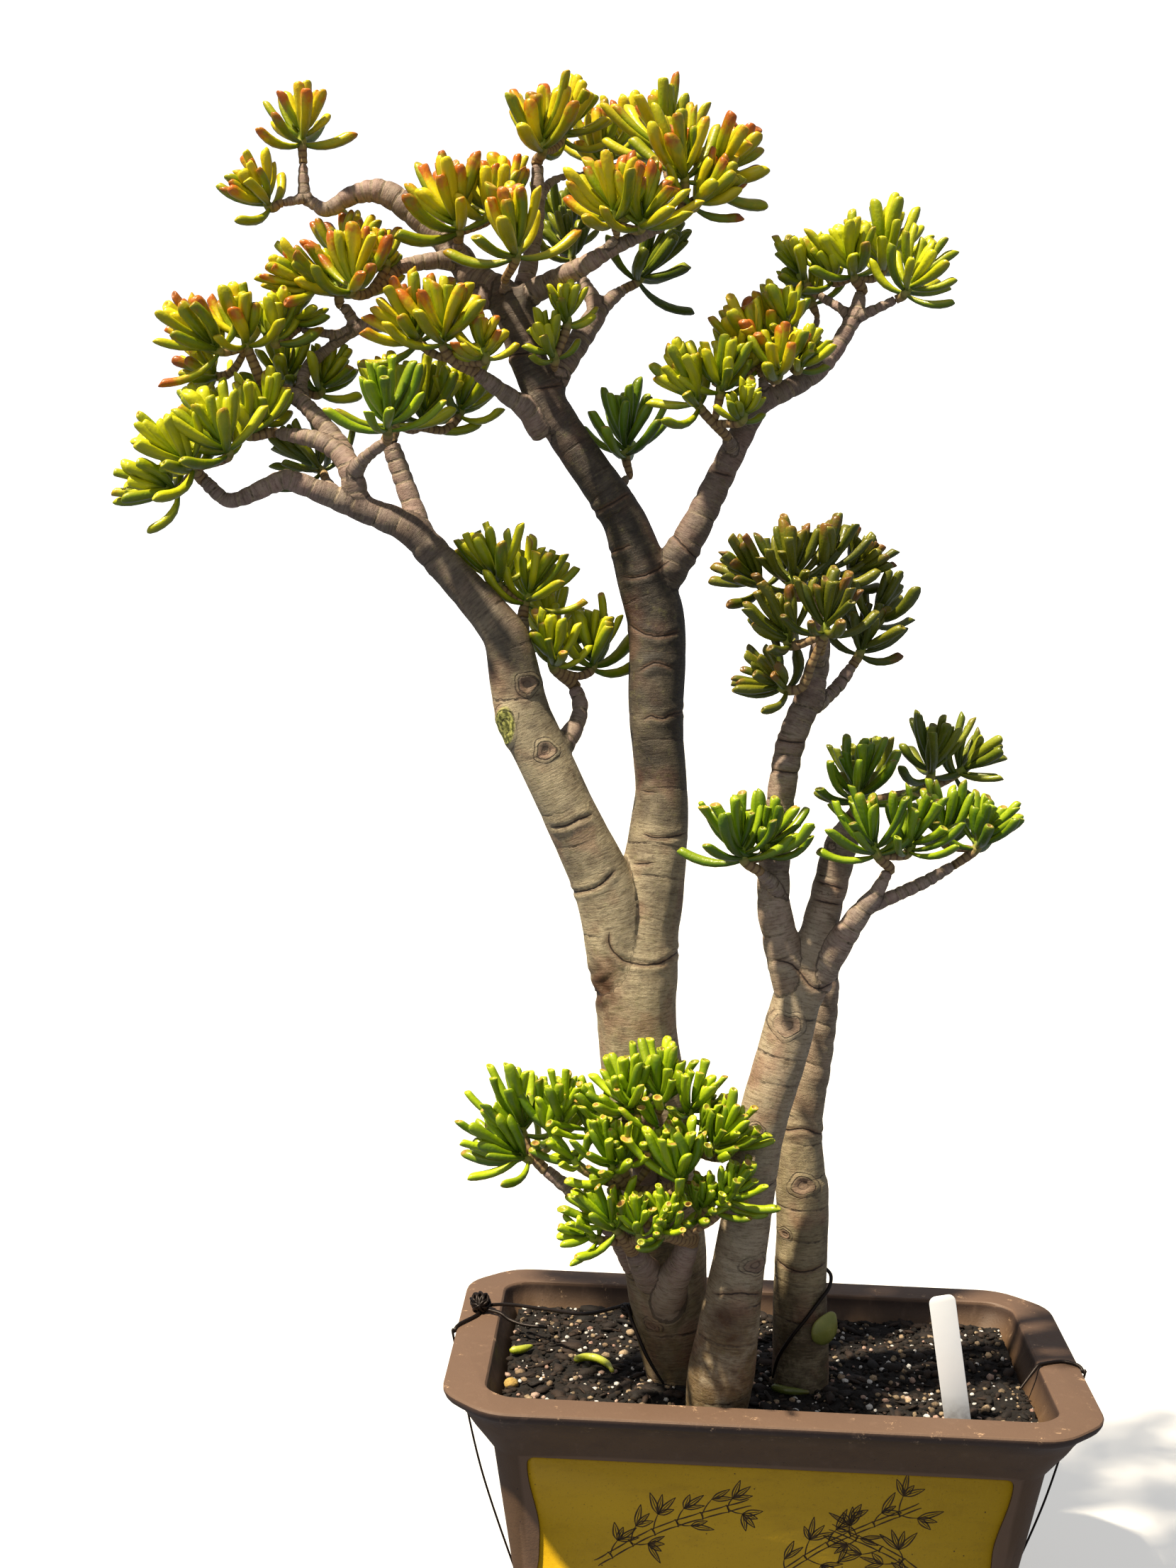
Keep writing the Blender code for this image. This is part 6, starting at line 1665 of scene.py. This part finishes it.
def lamp(name, kind, at, toward, energy, size, tone):
    """A lamp of this kind. Its size is the sun's angle in degrees or the panel's width in metres."""
    light = bpy.data.lights.new(name, kind)
    light.energy, light.color = energy, colour(tone)[:3]
    if kind == "SUN":
        light.angle = math.radians(size)
    else:
        light.size = size
    obj = bpy.data.objects.new(name, light)
    obj.location = at
    obj.rotation_euler = (Vector(toward) - Vector(at)).to_track_quat("-Z", "Y").to_euler()
    bpy.context.scene.collection.objects.link(obj)


def make_stage():
    """The floor, the backdrop, the sky and the lamps."""
    floor = stage_disc("floor", 9, plain("painted_floor", "#c9c8c5", 0.9, 0.75))
    floor.visible_diffuse = floor.visible_glossy = False        # so that no glow comes up under the pot
    dome = stage_disc("backdrop", 8.9, plain("pale_backdrop", "#fbfbfb", 1.0, 1.0), dome=True)
    dome.visible_diffuse = dome.visible_glossy = dome.visible_shadow = False
    world = bpy.data.worlds.new("studio")
    bpy.context.scene.world = world
    world.use_nodes = True
    sky = world.node_tree.nodes["Background"]
    sky.inputs["Color"].default_value = colour("#f3f6ff")
    sky.inputs["Strength"].default_value = 0.29
    for kind in LAMPS:
        lamp(*kind)
    bpy.context.scene.view_settings.view_transform = "Standard"


def make_camera():
    """A standing viewer's camera, tipped a little down."""
    pitch, yaw, roll = [math.radians(turn) for turn in CAMERA_TURN]
    ahead = Vector((math.sin(yaw) * math.cos(pitch), math.cos(yaw) * math.cos(pitch), -math.sin(pitch)))
    level = Vector((math.cos(yaw), -math.sin(yaw), 0))
    upright = level.cross(ahead)
    right = level * math.cos(roll) + upright * math.sin(roll)
    up = upright * math.cos(roll) - level * math.sin(roll)
    camera = bpy.data.cameras.new("camera")
    camera.lens, camera.sensor_width, camera.clip_end = CAMERA_LENS, 36, 40
    obj = bpy.data.objects.new("camera", camera)
    obj.matrix_world = Matrix((right, up, -ahead)).transposed().to_4x4()
    obj.location = CAMERA_AT
    bpy.context.scene.collection.objects.link(obj)
    bpy.context.scene.camera = obj


def main():
    """The whole plant, piece by piece, and its surroundings."""
    make_camera()
    leaf = {tone: leaf_skin("jade_leaf_" + tone, codes, BLUSH_FROM[tone])
            for tone, codes in LEAF_COLOURS.items()}
    dropped = {tone: leaf_skin("jade_leaf_" + tone, codes) for tone, codes in SHED_COLOURS.items()}
    bark = {tree: bark_skin(*finish) for tree, (_, *finish) in BARKS.items()}
    shoot = shoot_skin("jade_shoot")
    shoots, leaves = grown()
    for number, tree in enumerate(TREES):
        make_tree(tree, number, bark[tree])
    for number, (name, (_, tone, _)) in enumerate(SPRAYS.items()):
        make_spray(number, name, shoots[name], leaves[name], tone, leaf, shoot)
    make_pot(stoneware("stoneware_clay"))
    ochre, ink = ochre_slip("ochre_slip"), slip_ink("brown_slip_line")
    for side in (1, -1):
        make_panel(side, ochre)
        make_drawing(side, ink)
    make_soil(peat("potting_soil"))
    for number, (name, count, size, flatness, finish, more) in enumerate(GRAINS):
        scatter(name, count, size, flatness, grain_skin(*finish), number + 1, **more)
    make_wires(annealed_wire("annealed_wire"))
    make_label(label_plastic("white_polystyrene"))
    for number, (points, tone) in enumerate(zip(FALLEN, ("shed", "shed", "old"))):
        make_fallen(number + 1, points, dropped[tone])
    make_tucked(dropped["dull"])
    for node in ("drain_mesh_left", "drain_mesh_right"):
        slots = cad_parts[node].data.materials
        slots.clear()
        slots.append(drain_mesh_plastic("black_polyethylene"))
    make_stage()


main()
